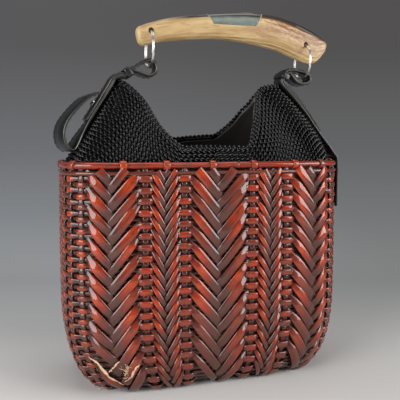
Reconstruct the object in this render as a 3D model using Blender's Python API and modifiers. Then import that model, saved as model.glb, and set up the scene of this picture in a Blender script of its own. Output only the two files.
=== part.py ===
"""Woven cane handbag with a corded yoke, leather straps and an antler grip.

Metres, +Z up. The origin is the middle of the basket's base, the bag's long side runs
along X and its front faces -Y. The grip, its stone and the two rings swing together on
the line through the rings' centres.
"""
import bpy
import numpy as np
from math import atan2, cos, hypot, pi, radians, sin, sqrt
from mathutils import Vector

# Basket
BASKET_LENGTH = 0.262
BASKET_DEPTH = 0.118
BASKET_HEIGHT = 0.204
WALL = 0.0035
CORNER_POWER = 4.1
BELLY_SHARE = 0.010
END_ROUND_REACH = 0.030
END_ROUND_HEIGHT = 0.072
SIDE_ROUND_REACH = 0.018
SIDE_ROUND_HEIGHT = 0.026

# Cane rim
BAND_HEIGHT = 0.0078
BAND_THICKNESS = 0.0042
CORE_HEIGHT = 0.0032
CORE_THICKNESS = 0.0024
WRAP_WIDTH = 0.0050
WRAP_THICKNESS = 0.0010
WRAP_SPACING = 0.0424

# Corded yoke with two ears, and its lining
YOKE_THICKNESS = 0.0040
YOKE_TUCK = 0.010
EAR_HEIGHT = 0.073
EAR_DEPTH_DRAW = 0.82
EAR_DEPTH_POWER = 1.25
LEFT_LEAN = 0.365
LEFT_LEAN_POWER = 1.0
RIGHT_LEAN = 0.345
RIGHT_LEAN_POWER = 1.6
LINING_THICKNESS = 0.0012
LINING_DROP = 0.004

# Straps, keepers and rivets
STRAP_THICKNESS = 0.0026
STRAP_WIDTH = 0.042
STRAP_NECK_WIDTH = 0.018
STRAP_NARROWING_POWER = 1.3
STRAP_TURN_LIFT = 1.7
TAB_WIDTH = 0.038
TAB_LENGTH = 0.048
KEEPER_LENGTH = 0.0062
KEEPER_THICKNESS = 0.0016
KEEPER_LEAD = 0.0012
RIVET_DIAMETER = 0.0064
RIVET_HEIGHT = 0.0022
RIVET_SHANK = 0.0030
LEFT_RIVET_SHARE = 0.66
RIGHT_RIVET_SHARE = 0.80

# Rings
RING_RADIUS = 0.0170
RING_WIRE = 0.0028
LEFT_RING_REACH = 0.0484
LEFT_RING_RISE = 0.1026
RIGHT_RING_RISE = 0.0980

# Antler grip and its stone
GRIP_LENGTH = 0.1964
GRIP_SPAN = 0.0450
GRIP_DEPTH = 0.0164
GRIP_OVERHANG = 0.0126
GRIP_FOOT_OVERHANG = 0.0254
GRIP_FOOT_DROP = 0.0010
GRIP_SECTION_POWER = 2.5
HOLE_DIAMETER = 0.0058
HOLE_DEPTH_SHARE = 0.86
STONE_LENGTH = 0.0580
STONE_START_SHARE = 0.335
STONE_FOOT_SHARE = 0.70
STONE_BEVEL = 0.0075
STONE_BACK = -0.0015

# Clearances
FIT = 0.0003
YOKE_EASE = 0.0004
LINING_EASE = 0.0012
RIM_EASE = 0.0006
LINING_SLOPE = 1.35

# Facets: how many, or how long
AROUND = 56
RIM_STEPS = 400
SLOPE_STEP = 0.001
RING_SEGMENTS = 28
ROUTE_STEP = 0.0030
GRIP_SIDES = 14

HALF_LENGTH = BASKET_LENGTH / 2
HALF_DEPTH = BASKET_DEPTH / 2
WALL_TOP = BASKET_HEIGHT - WRAP_THICKNESS - 2 * FIT
YOKE_HALF_LENGTH = HALF_LENGTH - WALL - YOKE_EASE
YOKE_HALF_DEPTH = HALF_DEPTH - WALL - YOKE_EASE
RINGS_APART = GRIP_LENGTH - GRIP_OVERHANG - GRIP_FOOT_OVERHANG
LEFT_RING = Vector((-LEFT_RING_REACH, 0.0, BASKET_HEIGHT + LEFT_RING_RISE))
RIGHT_RING = Vector((LEFT_RING.x + RINGS_APART, 0.0, BASKET_HEIGHT + RIGHT_RING_RISE))

# Height of the yoke's top edge, as a share of EAR_HEIGHT above the rim
# reach from the middle as a share of half the length, front left, front right, back left, back right
YOKE_EDGE = (
    (0.00, 0.170, 0.170, 0.305, 0.305),
    (0.15, 0.170, 0.168, 0.280, 0.325),
    (0.27, 0.178, 0.172, 0.275, 0.350),
    (0.33, 0.245, 0.255, 0.310, 0.420),
    (0.38, 0.310, 0.430, 0.365, 0.480),
    (0.45, 0.410, 0.600, 0.450, 0.575),
    (0.53, 0.550, 0.760, 0.560, 0.690),
    (0.60, 0.675, 0.870, 0.670, 0.765),
    (0.70, 0.800, 0.950, 0.790, 0.875),
    (0.80, 0.890, 0.980, 0.890, 0.955),
    (0.90, 0.960, 0.995, 0.960, 0.990),
    (1.00, 1.000, 1.000, 1.000, 1.000),
)

# Grip sections from the left end: share of the length, then top and bottom as shares of
# GRIP_SPAN above its lowest line, then depth as a share of GRIP_DEPTH
GRIP_SECTIONS = (
    (0.000, 0.520, 0.400, 0.40),
    (0.006, 0.560, 0.290, 0.62),
    (0.022, 0.590, 0.205, 0.80),
    (0.046, 0.630, 0.212, 0.85),
    (0.092, 0.698, 0.264, 0.86),
    (0.150, 0.765, 0.315, 0.89),
    (0.214, 0.824, 0.353, 0.92),
    (0.300, 0.886, 0.392, 0.97),
    (0.392, 0.938, 0.416, 1.00),
    (0.460, 0.972, 0.408, 1.00),
    (0.524, 0.992, 0.387, 1.00),
    (0.616, 1.000, 0.333, 1.00),
    (0.713, 0.969, 0.252, 0.97),
    (0.794, 0.887, 0.129, 0.92),
    (0.855, 0.800, 0.038, 0.88),
    (0.901, 0.720, 0.000, 0.86),
    (0.942, 0.636, 0.044, 0.82),
    (0.972, 0.562, 0.165, 0.74),
    (0.992, 0.498, 0.285, 0.56),
    (1.000, 0.444, 0.370, 0.34),
)

# Loop of each strap round its ring, from the ear's peak: steps from the middle of the
# ring's lowest wire, in shares of the ring's radius, outward then upward. The first list
# leads into the keeper, the second goes round the ring and the third leads out again.
LEFT_LOOP = (
    ((1.71, -0.58),),
    (
        (0.80, -0.27), (0.535, -0.35), (0.153, -0.45), (-0.17, -0.35), (-0.306, -0.065),
        (-0.205, 0.25), (0.10, 0.395), (0.535, 0.235), (0.90, -0.015),
    ),
    ((1.76, -0.43),),
)
RIGHT_LOOP = (
    ((-1.565, -0.245),),
    (
        (-1.147, 0.435), (-0.824, 0.482), (-0.412, 0.435), (-0.03, 0.353), (0.247, 0.176),
        (0.341, -0.06), (0.147, -0.265), (-0.206, -0.324), (-0.559, -0.224), (-0.83, 0.035),
        (-0.99, 0.22),
    ),
    (),
)
# Keeper's place, as the loop's points are given, and its lean in degrees from outward to upward
LEFT_KEEPER = (1.268, -0.324, 144.0)
RIGHT_KEEPER = (-1.347, 0.065, 60.0)

# Free tab of the left strap, which has sprung up: steps from the hanging tab's place at the
# rim, in shares of TAB_LENGTH, outward then upward, from its free end to the turn above the rim
LEFT_TAB = (
    (-0.73, 1.25), (-0.544, 1.156), (-0.335, 0.948), (-0.18, 0.75), (-0.106, 0.5625),
    (-0.11, 0.385), (-0.158, 0.267), (-0.242, 0.198), (-0.323, 0.24),
)

MATERIALS = {
    "cane": ((0.235, 0.045, 0.022), 0.32, 0.0),
    "cord": ((0.012, 0.012, 0.014), 0.62, 0.0),
    "lining": ((0.020, 0.014, 0.012), 0.45, 0.0),
    "leather": ((0.014, 0.012, 0.012), 0.30, 0.0),
    "steel": ((0.62, 0.60, 0.58), 0.28, 1.0),
    "antler": ((0.66, 0.47, 0.25), 0.42, 0.0),
    "stone": ((0.27, 0.31, 0.29), 0.35, 0.0),
}


def clear_scene():
    """Remove every object of the scene."""
    for item in list(bpy.data.objects):
        bpy.data.objects.remove(item, do_unlink=True)


def new_collection(name):
    """A collection of the scene, by name."""
    collection = bpy.data.collections.new(name)
    bpy.context.scene.collection.children.link(collection)
    return collection


def make_material(name, finish):
    """A Principled material with one of MATERIALS' finishes."""
    colour, roughness, metallic = MATERIALS[finish]
    material = bpy.data.materials.new(name)
    material.use_nodes = True
    shader = material.node_tree.nodes["Principled BSDF"]
    shader.inputs["Base Color"].default_value = (*colour, 1.0)
    shader.inputs["Roughness"].default_value = roughness
    shader.inputs["Metallic"].default_value = metallic
    return material


def place(item, name, finish, collection):
    """Name an object, give it its own material and move it into the collection."""
    item.name = name
    item.data.name = name
    item.data.materials.clear()
    item.data.materials.append(make_material(name, finish))
    for owner in list(item.users_collection):
        owner.objects.unlink(item)
    collection.objects.link(item)
    item.data.shade_smooth()
    item.data.set_sharp_from_angle(angle=0.7)
    return item


def smooth_table(where, table, column):
    """Read a table's column at the given places of column 0, along a smooth curve."""
    rows = np.array(table)
    known, values = rows[:, 0], rows[:, column]
    slopes = np.gradient(values, known)
    left = np.clip(np.searchsorted(known, where) - 1, 0, len(known) - 2)
    step = known[left + 1] - known[left]
    t = (where - known[left]) / step
    return (
        values[left] * (1 + 2 * t) * (1 - t) ** 2
        + slopes[left] * step * t * (1 - t) ** 2
        + values[left + 1] * t * t * (3 - 2 * t)
        + slopes[left + 1] * step * t * t * (t - 1)
    )


def unit_loop(count=AROUND):
    """Points round the bag, evenly spaced, as shares of its half length and half depth.

    The outline is a superellipse. It starts at the middle of the front and goes towards +X.
    """
    angle = np.linspace(0, 2 * pi, 4001)
    x = np.sign(np.sin(angle)) * np.abs(np.sin(angle)) ** (2 / CORNER_POWER)
    y = -np.sign(np.cos(angle)) * np.abs(np.cos(angle)) ** (2 / CORNER_POWER)
    run = np.hypot(np.diff(x) * HALF_LENGTH, np.diff(y) * HALF_DEPTH)
    length = np.concatenate([[0], np.cumsum(run)])
    wanted = np.arange(count) * length[-1] / count
    return np.interp(wanted, length, x), np.interp(wanted, length, y), length[-1]


def round_share(height, reach_height):
    """How far a side has drawn in at a height: 1 at the base, 0 above the round corner."""
    down = np.clip(1 - np.asarray(height) / reach_height, 0, 1)
    return 1 - np.sqrt(1 - down**2)


def basket_halves(height):
    """Half the length and half the depth of the basket's outside at a height."""
    belly = BELLY_SHARE * np.sin(pi * np.clip(np.asarray(height) / BASKET_HEIGHT, 0, 1))
    half_length = HALF_LENGTH * (1 + belly) - END_ROUND_REACH * round_share(height, END_ROUND_HEIGHT)
    half_depth = HALF_DEPTH * (1 + belly) - SIDE_ROUND_REACH * round_share(height, SIDE_ROUND_HEIGHT)
    return half_length, half_depth


def ear_halves(height, side):
    """Half the length (by side, -1 left or 1 right) and half the depth of the yoke's outside."""
    share = np.clip((np.asarray(height) - BASKET_HEIGHT) / EAR_HEIGHT, 0, 1)
    left = LEFT_LEAN * share**LEFT_LEAN_POWER
    right = RIGHT_LEAN * share**RIGHT_LEAN_POWER
    half_length = YOKE_HALF_LENGTH * (1 - np.where(np.asarray(side) < 0, left, right))
    half_depth = YOKE_HALF_DEPTH * (1 - EAR_DEPTH_DRAW * share**EAR_DEPTH_POWER)
    return half_length, half_depth


def yoke_edge(x, y):
    """Height of the yoke's top edge above the floor, at points of the unit loop."""
    reach = np.abs(x)
    front = np.where(x < 0, smooth_table(reach, YOKE_EDGE, 1), smooth_table(reach, YOKE_EDGE, 2))
    back = np.where(x < 0, smooth_table(reach, YOKE_EDGE, 3), smooth_table(reach, YOKE_EDGE, 4))
    return BASKET_HEIGHT + EAR_HEIGHT * np.where(y < 0, front, back)


def grid_object(points, close_rows=False, close_columns=False, cap_first=False, cap_last=False):
    """An object from a grid of points, rows by columns, with outward faces.

    Rows run upward and columns run anticlockwise seen from above, or the same way round
    any other shape.
    """
    rows, columns = points.shape[:2]
    faces = []
    for row in range(rows if close_rows else rows - 1):
        for column in range(columns if close_columns else columns - 1):
            right = (column + 1) % columns
            above = (row + 1) % rows
            faces.append((
                row * columns + column, row * columns + right,
                above * columns + right, above * columns + column,
            ))
    if cap_first:
        faces.append(tuple(range(columns))[::-1])
    if cap_last:
        faces.append(tuple((rows - 1) * columns + column for column in range(columns)))
    mesh = bpy.data.meshes.new("grid")
    mesh.from_pydata(points.reshape(-1, 3).tolist(), [], faces)
    mesh.update()
    item = bpy.data.objects.new("grid", mesh)
    bpy.context.scene.collection.objects.link(item)
    return item


def solidify(item, thickness, offset=-1.0):
    """Give an open surface its thickness, inward unless told otherwise."""
    modifier = item.modifiers.new("thickness", "SOLIDIFY")
    modifier.thickness = thickness
    modifier.offset = offset
    modifier.use_even_offset = True
    return item


def cut(item, cutter, operation="DIFFERENCE"):
    """Cut an object by a cutter that stays hidden."""
    modifier = item.modifiers.new("cut", "BOOLEAN")
    modifier.operation = operation
    modifier.solver = "EXACT"
    modifier.object = cutter


def hide_cutter(item, name, cutters):
    """Keep a cutter out of the model."""
    item.name = name
    for owner in list(item.users_collection):
        owner.objects.unlink(item)
    cutters.objects.link(item)
    item.hide_render = True
    item.display_type = "WIRE"
    return item


def curve_through(points, step):
    """Evenly stepped points on a smooth curve through a list of 2D points."""
    known = np.array(points, dtype=float)
    before = np.vstack([2 * known[0] - known[1], known[:-1]])
    after = np.vstack([known[1:], 2 * known[-1] - known[-2]])
    slopes = (after - before) / 2
    t = np.linspace(0, 1, 12, endpoint=False)[:, None]
    pieces = [
        known[i] * (1 + 2 * t) * (1 - t) ** 2 + slopes[i] * t * (1 - t) ** 2
        + known[i + 1] * t * t * (3 - 2 * t) + slopes[i + 1] * t * t * (t - 1)
        for i in range(len(known) - 1)
    ]
    fine = np.vstack(pieces + [known[-1:]])
    length = np.concatenate([[0], np.cumsum(np.hypot(*np.diff(fine, axis=0).T))])
    count = max(2, int(round(length[-1] / step)) + 1)
    wanted = np.linspace(0, length[-1], count)
    return np.column_stack([np.interp(wanted, length, fine[:, 0]), np.interp(wanted, length, fine[:, 1])])


def build_basket(collection):
    """The woven body: one shell with a round-cornered wall and a flat base."""
    x, y, _ = unit_loop()
    heights = np.concatenate([
        SIDE_ROUND_HEIGHT * np.array([0.0, 0.06, 0.2, 0.45, 1.0]),
        END_ROUND_HEIGHT * np.array([0.62, 1.0]),
        WALL_TOP * np.array([0.64, 1.0]),
    ])
    rows = []
    for height in heights:
        half_length, half_depth = basket_halves(height)
        rows.append(np.column_stack([x * half_length, y * half_depth, np.full(AROUND, height)]))
    item = grid_object(np.array(rows), close_columns=True, cap_first=True)
    return place(solidify(item, WALL), "basket", "cane", collection)


def rim_loop(outward, heights, count=AROUND):
    """Rows of points round the rim, each row at its own distance out of the wall and height."""
    x, y, _ = unit_loop(count)
    outline = np.column_stack([x * HALF_LENGTH, y * HALF_DEPTH])
    along = np.roll(outline, -1, axis=0) - np.roll(outline, 1, axis=0)
    normal = np.column_stack([along[:, 1], -along[:, 0]]) / np.hypot(*along.T)[:, None]
    rows = []
    for distance, height in zip(outward, heights):
        rows.append(np.column_stack([outline + normal * distance, np.full(count, height)]))
    return np.array(rows)


def half_round(thickness, height, top, points):
    """Section of a half-round cane against the wall: distances outward, and heights."""
    angle = np.linspace(-pi / 2, pi / 2, points)
    middle = top - height / 2
    outward = RIM_EASE + (thickness - RIM_EASE) * np.cos(angle)
    return outward, middle + height / 2 * np.sin(angle)


def build_rim(collection):
    """The half-round cane band, the cane row under it and the bindings over the band."""
    band_top = BASKET_HEIGHT - WRAP_THICKNESS - FIT
    outward, heights = half_round(BAND_THICKNESS, BAND_HEIGHT, band_top, 6)
    band = grid_object(rim_loop(outward, heights), close_rows=True, close_columns=True)
    place(band, "rim_band", "cane", collection)
    core_top = band_top - BAND_HEIGHT - WRAP_THICKNESS - 3 * FIT
    outward, heights = half_round(CORE_THICKNESS, CORE_HEIGHT, core_top, 4)
    core = grid_object(rim_loop(outward, heights), close_rows=True, close_columns=True)
    place(core, "rim_core", "cane", collection)
    build_wraps(band_top, collection)


def build_wraps(band_top, collection):
    """The bindings: short straps of cane over the band, evenly spaced round the rim."""
    stand_off = FIT + WRAP_THICKNESS / 2
    outward, heights = half_round(
        BAND_THICKNESS + stand_off, BAND_HEIGHT + 2 * stand_off, band_top + stand_off, 6
    )
    outward = np.append(outward, -WALL + FIT)
    heights = np.append(heights, band_top + stand_off)
    outward[0] = RIM_EASE
    length = unit_loop()[2]
    count = 2 * int(length / WRAP_SPACING / 2)
    loop = rim_loop(outward, heights, RIM_STEPS)
    half = WRAP_WIDTH / 2 * RIM_STEPS / length
    for number in range(count):
        middle = (number + 0.5) * RIM_STEPS / count
        edges = np.array([middle - half, middle, middle + half])
        low = np.floor(edges).astype(int)
        part = (edges - low)[None, :, None]
        strip = loop[:, low % RIM_STEPS] * (1 - part) + loop[:, (low + 1) % RIM_STEPS] * part
        item = solidify(grid_object(strip), WRAP_THICKNESS, 0.0)
        place(item, f"rim_wrap_{number + 1:02d}", "cane", collection)


def yoke_surface(foot_rows, inset, drop, levels):
    """Rows of the yoke's outside, drawn in by an inset and with its top edge lowered.

    foot_rows are (height, half length, half depth) rows below the rim; above it, levels
    are shares of the way from the rim to the edge.
    """
    x, y, _ = unit_loop()
    rows = []
    for height, half_length, half_depth in foot_rows:
        rows.append(np.column_stack([x * half_length, y * half_depth, np.full(AROUND, height)]))
    top = yoke_edge(x, y) - drop
    for level in levels:
        height = BASKET_HEIGHT + (top - BASKET_HEIGHT) * level
        half_length, half_depth = ear_halves(height, np.sign(x))
        rows.append(np.column_stack([x * (half_length - inset), y * (half_depth - inset), height]))
    return np.array(rows)


def build_yoke(collection):
    """The corded shell: tucked inside the rim, with two ears that lean inward."""
    foot = [(BASKET_HEIGHT - YOKE_TUCK, YOKE_HALF_LENGTH, YOKE_HALF_DEPTH)]
    surface = yoke_surface(foot, 0.0, 0.0, (0.0, 0.2, 0.4, 0.6, 0.8, 1.0))
    item = grid_object(surface, close_columns=True)
    return place(solidify(item, YOKE_THICKNESS), "yoke", "cord", collection)


def build_lining(collection):
    """The cloth inside: a bag down to the basket's base, closed under the yoke's edge."""
    inset = LINING_SLOPE * (YOKE_THICKNESS + FIT) + FIT
    floor = WALL + LINING_EASE / 2
    foot = []
    for height in (floor, 0.5 * SIDE_ROUND_HEIGHT, SIDE_ROUND_HEIGHT, END_ROUND_HEIGHT):
        half_length, half_depth = basket_halves(height)
        ease = WALL + LINING_EASE + 3 * LINING_EASE * (height < END_ROUND_HEIGHT)
        foot.append((height, half_length - ease, half_depth - ease))
    below_yoke = BASKET_HEIGHT - YOKE_TUCK - 2 * LINING_EASE
    foot.append((below_yoke, YOKE_HALF_LENGTH - inset, YOKE_HALF_DEPTH - inset))
    surface = yoke_surface(foot, inset, LINING_DROP, (0.0, 0.25, 0.5, 0.75, 1.0))
    item = grid_object(surface, close_columns=True, cap_first=True)
    return place(solidify(item, LINING_THICKNESS), "lining", "lining", collection)


def ridge_point(share, side, stand_off):
    """Point (x, z) off the outer ridge of an ear, square to it, at a share of the ear's height."""
    height = BASKET_HEIGHT + EAR_HEIGHT * share
    reach = float(ear_halves(height, side)[0])
    above = float(ear_halves(height + SLOPE_STEP, side)[0]) if share < 1 else reach
    below = float(ear_halves(height - SLOPE_STEP, side)[0])
    run = (below - above) / (2 * SLOPE_STEP if share < 1 else SLOPE_STEP)
    size = hypot(1.0, run)
    return side * (reach + stand_off / size), height + stand_off * run / size


def strap_route(side):
    """The strap's middle line in X and Z, from its free tab, up the ear, round the ring and back."""
    inner = FIT + STRAP_THICKNESS / 2
    outer = inner + STRAP_THICKNESS + FIT
    outside = HALF_LENGTH + BAND_THICKNESS + WRAP_THICKNESS + 2 * FIT + RIM_EASE + STRAP_THICKNESS / 2
    if side < 0:
        tab = [
            (side * (outside + TAB_LENGTH * out), BASKET_HEIGHT + TAB_LENGTH * up)
            for out, up in LEFT_TAB
        ]
        climb = (0.30, 0.45, 0.60, 0.75, 0.90, 1.0)
        fold, ring = LEFT_LOOP, LEFT_RING
        back = (1.0, 0.90, 0.75, 0.60, 0.47)
    else:
        rest = BASKET_HEIGHT + 2 * FIT + STRAP_THICKNESS / 2
        tab = [
            (outside, BASKET_HEIGHT - TAB_LENGTH),
            (outside, BASKET_HEIGHT - TAB_LENGTH / 2),
            (outside, BASKET_HEIGHT - TAB_LENGTH / 6),
            (outside - STRAP_THICKNESS / 3, rest),
            (HALF_LENGTH + STRAP_THICKNESS / 2, rest + STRAP_TURN_LIFT * STRAP_THICKNESS),
        ]
        climb = (0.27, 0.42, 0.58, 0.75, 0.88, 1.0)
        fold, ring = RIGHT_LOOP, RIGHT_RING
        back = (0.92, 0.80, 0.65, 0.50, 0.36)
    before, around, after = [
        [loop_place(out, up, side, ring) for out, up in points] for points in fold
    ]
    first, second = keeper_layers(side)
    loop = before + first + around + second + after
    up_points = [ridge_point(share, side, inner) for share in climb]
    down_points = [ridge_point(share, side, outer) for share in back]
    route = curve_through(tab + up_points + loop + down_points, ROUTE_STEP)
    return route, len(curve_through(tab + up_points[:1], ROUTE_STEP))


def loop_place(out, up, side, ring):
    """World X and Z of a point given by its steps from the middle of the ring's lowest wire."""
    return ring.x + side * RING_RADIUS * out, ring.z - RING_RADIUS + RING_RADIUS * up


def keeper_frame(side):
    """Middle of a keeper in X and Z, and the direction of the strap through it."""
    (out, up, lean), ring = (LEFT_KEEPER, LEFT_RING) if side < 0 else (RIGHT_KEEPER, RIGHT_RING)
    angle = radians(lean)
    return np.array(loop_place(out, up, side, ring)), np.array([side * cos(angle), sin(angle)])


def keeper_layers(side):
    """Where the strap's two layers enter and leave the keeper: inward layer, then outward one."""
    middle, along = keeper_frame(side)
    across = side * np.array([-along[1], along[0]]) * (STRAP_THICKNESS + FIT) / 2
    reach = along * (KEEPER_LENGTH / 2 + KEEPER_LEAD)
    inward = [tuple(middle + across - reach), tuple(middle + across + reach)]
    outward = [tuple(middle - across + reach), tuple(middle - across - reach)]
    return inward, outward


def strap_widths(route, tab_steps):
    """Widths along a strap: the tab's, then narrowing up the ear to the neck's."""
    share = np.clip((route[:, 1] - BASKET_HEIGHT) / EAR_HEIGHT, 0, 1)
    climb = STRAP_WIDTH + (STRAP_NECK_WIDTH - STRAP_WIDTH) * share**STRAP_NARROWING_POWER
    return np.where(np.arange(len(route)) < tab_steps, TAB_WIDTH, climb)


def build_strap(side, label, collection, cutters):
    """A leather strap as one folded ribbon, bored for its rivet, with the rivet and the keeper."""
    route, tab_steps = strap_route(side)
    half = strap_widths(route, tab_steps) / 2
    across = np.array([-1.0, 0.0, 1.0])
    points = np.zeros((len(route), 3, 3))
    points[:, :, 0] = route[:, 0, None]
    points[:, :, 1] = half[:, None] * across[None, :] * side
    points[:, :, 2] = route[:, 1, None]
    item = solidify(grid_object(points), STRAP_THICKNESS, 0.0)
    place(item, "strap_" + label, "leather", collection)
    share = LEFT_RIVET_SHARE if side < 0 else RIGHT_RIVET_SHARE
    x, z, turn = rivet_place(share, side)
    bpy.ops.mesh.primitive_cylinder_add(
        vertices=10, radius=RIVET_SHANK / 2 + FIT, depth=4 * STRAP_THICKNESS,
        location=(x, 0, z), rotation=(0, turn, 0),
    )
    cut(item, hide_cutter(bpy.context.object, "bore_" + label, cutters))
    build_rivet("rivet_" + label, x, z, turn, collection)
    build_keeper(side, "keeper_" + label, collection)


def rivet_place(share, side):
    """Middle of the strap's two layers at a share of the ear's height, and the turn outward."""
    middle = FIT + STRAP_THICKNESS + FIT / 2
    x, z = ridge_point(share, side, middle)
    base_x, base_z = ridge_point(share, side, 0.0)
    return x, z, atan2(x - base_x, z - base_z)


def build_rivet(name, x, z, turn, collection):
    """A domed rivet: its shank passes both layers of the strap and its head lies on them."""
    reach = STRAP_THICKNESS + FIT / 2
    dome = [
        (RIVET_DIAMETER / 2 * cos(step * pi / 8), reach + FIT + RIVET_HEIGHT * sin(step * pi / 8))
        for step in range(4, -1, -1)
    ]
    profile = [(0.0, dome[0][1])] + dome[1:] + [
        (RIVET_SHANK / 2, reach + FIT), (RIVET_SHANK / 2, -reach), (0.0, -reach),
    ]
    mesh = bpy.data.meshes.new(name)
    mesh.from_pydata([(r, 0.0, h) for r, h in profile], [(i, i + 1) for i in range(len(profile) - 1)], [])
    item = bpy.data.objects.new(name, mesh)
    bpy.context.scene.collection.objects.link(item)
    spin = item.modifiers.new("turn", "SCREW")
    spin.steps = 12
    spin.render_steps = 12
    spin.use_merge_vertices = True
    spin.merge_threshold = 0.00001
    item.location = (x, 0, z)
    item.rotation_euler = (0, turn, 0)
    place(item, name, "steel", collection)


def build_keeper(side, name, collection):
    """A leather band round the strap's two layers, just below the ring."""
    middle, along = keeper_frame(side)
    half_width = STRAP_NECK_WIDTH / 2 + FIT
    half_height = STRAP_THICKNESS + 2 * FIT
    corners = [
        (-half_width, -half_height), (half_width, -half_height),
        (half_width, half_height), (-half_width, half_height),
    ]
    rows = np.array([
        [(step * KEEPER_LENGTH, y, z) for y, z in corners] for step in (-0.5, 0.5)
    ])
    item = solidify(grid_object(rows, close_columns=True), KEEPER_THICKNESS, 1.0)
    item.location = (middle[0], 0, middle[1])
    item.rotation_euler = (0, -atan2(along[1], along[0]), 0)
    place(item, name, "leather", collection)


def build_ring(name, centre, axis, collection):
    """A ring of round wire, square to the line through the rings' centres."""
    bpy.ops.mesh.primitive_torus_add(
        major_radius=RING_RADIUS, minor_radius=RING_WIRE / 2, major_segments=RING_SEGMENTS, minor_segments=8,
        location=centre, rotation=axis.to_track_quat("Z", "Y").to_euler(),
    )
    return place(bpy.context.object, name, "steel", collection)


def grip_blank():
    """The antler's form: round sections along its length, closed at both ends."""
    turn = np.linspace(0, 2 * pi, GRIP_SIDES, endpoint=False)
    left = LEFT_RING.x - GRIP_OVERHANG
    lowest = RIGHT_RING.z - GRIP_FOOT_DROP
    rows = []
    for share, top, bottom, depth in GRIP_SECTIONS:
        middle = lowest + GRIP_SPAN * (top + bottom) / 2
        half_height = GRIP_SPAN * (top - bottom) / 2
        half_depth = GRIP_DEPTH * depth / 2
        flat = 2 / GRIP_SECTION_POWER
        y = np.sign(np.cos(turn)) * np.abs(np.cos(turn)) ** flat * half_depth
        z = np.sign(np.sin(turn)) * np.abs(np.sin(turn)) ** flat * half_height
        rows.append(np.column_stack([np.full(GRIP_SIDES, left + GRIP_LENGTH * share), y, middle + z]))
    return grid_object(np.array(rows), close_columns=True, cap_first=True, cap_last=True)


def hole_place(ring, direction):
    """Middle of the grip's bore: just inside the ring's highest wire, where the arc fits the bore."""
    half_depth = GRIP_DEPTH * HOLE_DEPTH_SHARE / 2
    sag = RING_RADIUS - sqrt(RING_RADIUS**2 - half_depth**2)
    return ring + direction * (RING_RADIUS - sag / 2)


def stone_cutter(grow, name, cutters):
    """A wedge that bounds the stone: sloping ends and foot, open at the front and top."""
    left = LEFT_RING.x - GRIP_OVERHANG + GRIP_LENGTH * STONE_START_SHARE
    foot = RIGHT_RING.z - GRIP_FOOT_DROP + GRIP_SPAN * STONE_FOOT_SHARE
    top = foot + GRIP_SPAN
    slope = STONE_BEVEL / (GRIP_SPAN * (1 - STONE_FOOT_SHARE))
    spread = slope * GRIP_SPAN
    outline = [
        (left + STONE_BEVEL - grow, foot - grow), (left + STONE_LENGTH - STONE_BEVEL + grow, foot - grow),
        (left + STONE_LENGTH - STONE_BEVEL + spread + grow, top), (left + STONE_BEVEL - spread - grow, top),
    ]
    rows = np.array([[(x, y, z) for x, z in outline] for y in (STONE_BACK + grow, -GRIP_DEPTH)])
    item = grid_object(rows, close_columns=True, cap_first=True, cap_last=True)
    return hide_cutter(item, name, cutters)


def build_grip(collection, cutters):
    """The antler grip, bored for both rings and let in for its stone, and the stone."""
    axis = (RIGHT_RING - LEFT_RING).normalized()
    upward = Vector((0, -1, 0)).cross(axis).normalized()
    grip = grip_blank()
    stone = grip_blank()
    place(grip, "handle", "antler", collection)
    place(stone, "inlay", "stone", collection)
    for side, ring in (("left", LEFT_RING), ("right", RIGHT_RING)):
        bpy.ops.mesh.primitive_cylinder_add(
            vertices=16, radius=HOLE_DIAMETER / 2, depth=3 * GRIP_DEPTH,
            location=hole_place(ring, upward), rotation=(pi / 2, 0, 0),
        )
        cut(grip, hide_cutter(bpy.context.object, "hole_" + side, cutters))
    cut(grip, stone_cutter(FIT, "stone_seat", cutters))
    cut(stone, stone_cutter(0.0, "stone_outline", cutters), "INTERSECT")
    return grip, stone, axis


def build_handbag():
    """Build every piece and hang the moving ones on the swing axis."""
    clear_scene()
    collection = new_collection("woven_handbag")
    cutters = new_collection("cutters")
    build_basket(collection)
    build_rim(collection)
    build_yoke(collection)
    build_lining(collection)
    for side, label in ((-1, "left"), (1, "right")):
        build_strap(side, label, collection, cutters)
    grip, stone, axis = build_grip(collection, cutters)
    swing = bpy.data.objects.new("handle_swing_axis", None)
    swing.location = LEFT_RING
    collection.objects.link(swing)
    moving = [grip, stone]
    moving.append(build_ring("ring_left", LEFT_RING, axis, collection))
    moving.append(build_ring("ring_right", RIGHT_RING, axis, collection))
    bpy.context.view_layer.update()
    for item in moving:
        item.parent = swing
        item.matrix_parent_inverse = swing.matrix_world.inverted()


build_handbag()
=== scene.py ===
"""Looks of the woven handbag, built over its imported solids.

Metres, +Z up, in the part's own frame: the origin is the middle of the basket's base, the
bag's long side runs along X and its front faces -Y. The grip, its stone and the two rings
swing together.
"""
from math import cos, hypot, pi, radians, sin, sqrt

import bpy
import numpy as np
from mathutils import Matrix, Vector


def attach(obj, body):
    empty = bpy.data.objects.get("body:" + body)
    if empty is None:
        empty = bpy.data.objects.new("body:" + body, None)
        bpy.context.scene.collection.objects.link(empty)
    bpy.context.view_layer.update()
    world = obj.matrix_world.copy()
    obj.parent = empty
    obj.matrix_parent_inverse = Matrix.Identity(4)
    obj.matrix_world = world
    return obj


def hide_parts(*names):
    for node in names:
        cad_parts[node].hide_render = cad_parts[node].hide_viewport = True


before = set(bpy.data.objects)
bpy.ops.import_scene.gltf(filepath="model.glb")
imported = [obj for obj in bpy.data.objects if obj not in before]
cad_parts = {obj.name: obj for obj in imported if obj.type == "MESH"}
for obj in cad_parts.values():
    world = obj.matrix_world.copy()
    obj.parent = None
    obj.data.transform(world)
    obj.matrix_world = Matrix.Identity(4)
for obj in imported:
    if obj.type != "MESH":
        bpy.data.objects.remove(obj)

bl_info = {
    "name": "Woven handbag",
    "version": (1, 0, 0),
    "blender": (4, 5, 0),
    "location": "3D View > Sidebar > Handbag",
    "description": "Builds a woven cane handbag with leather straps and an antler grip",
    "category": "Add Mesh",
}

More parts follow.
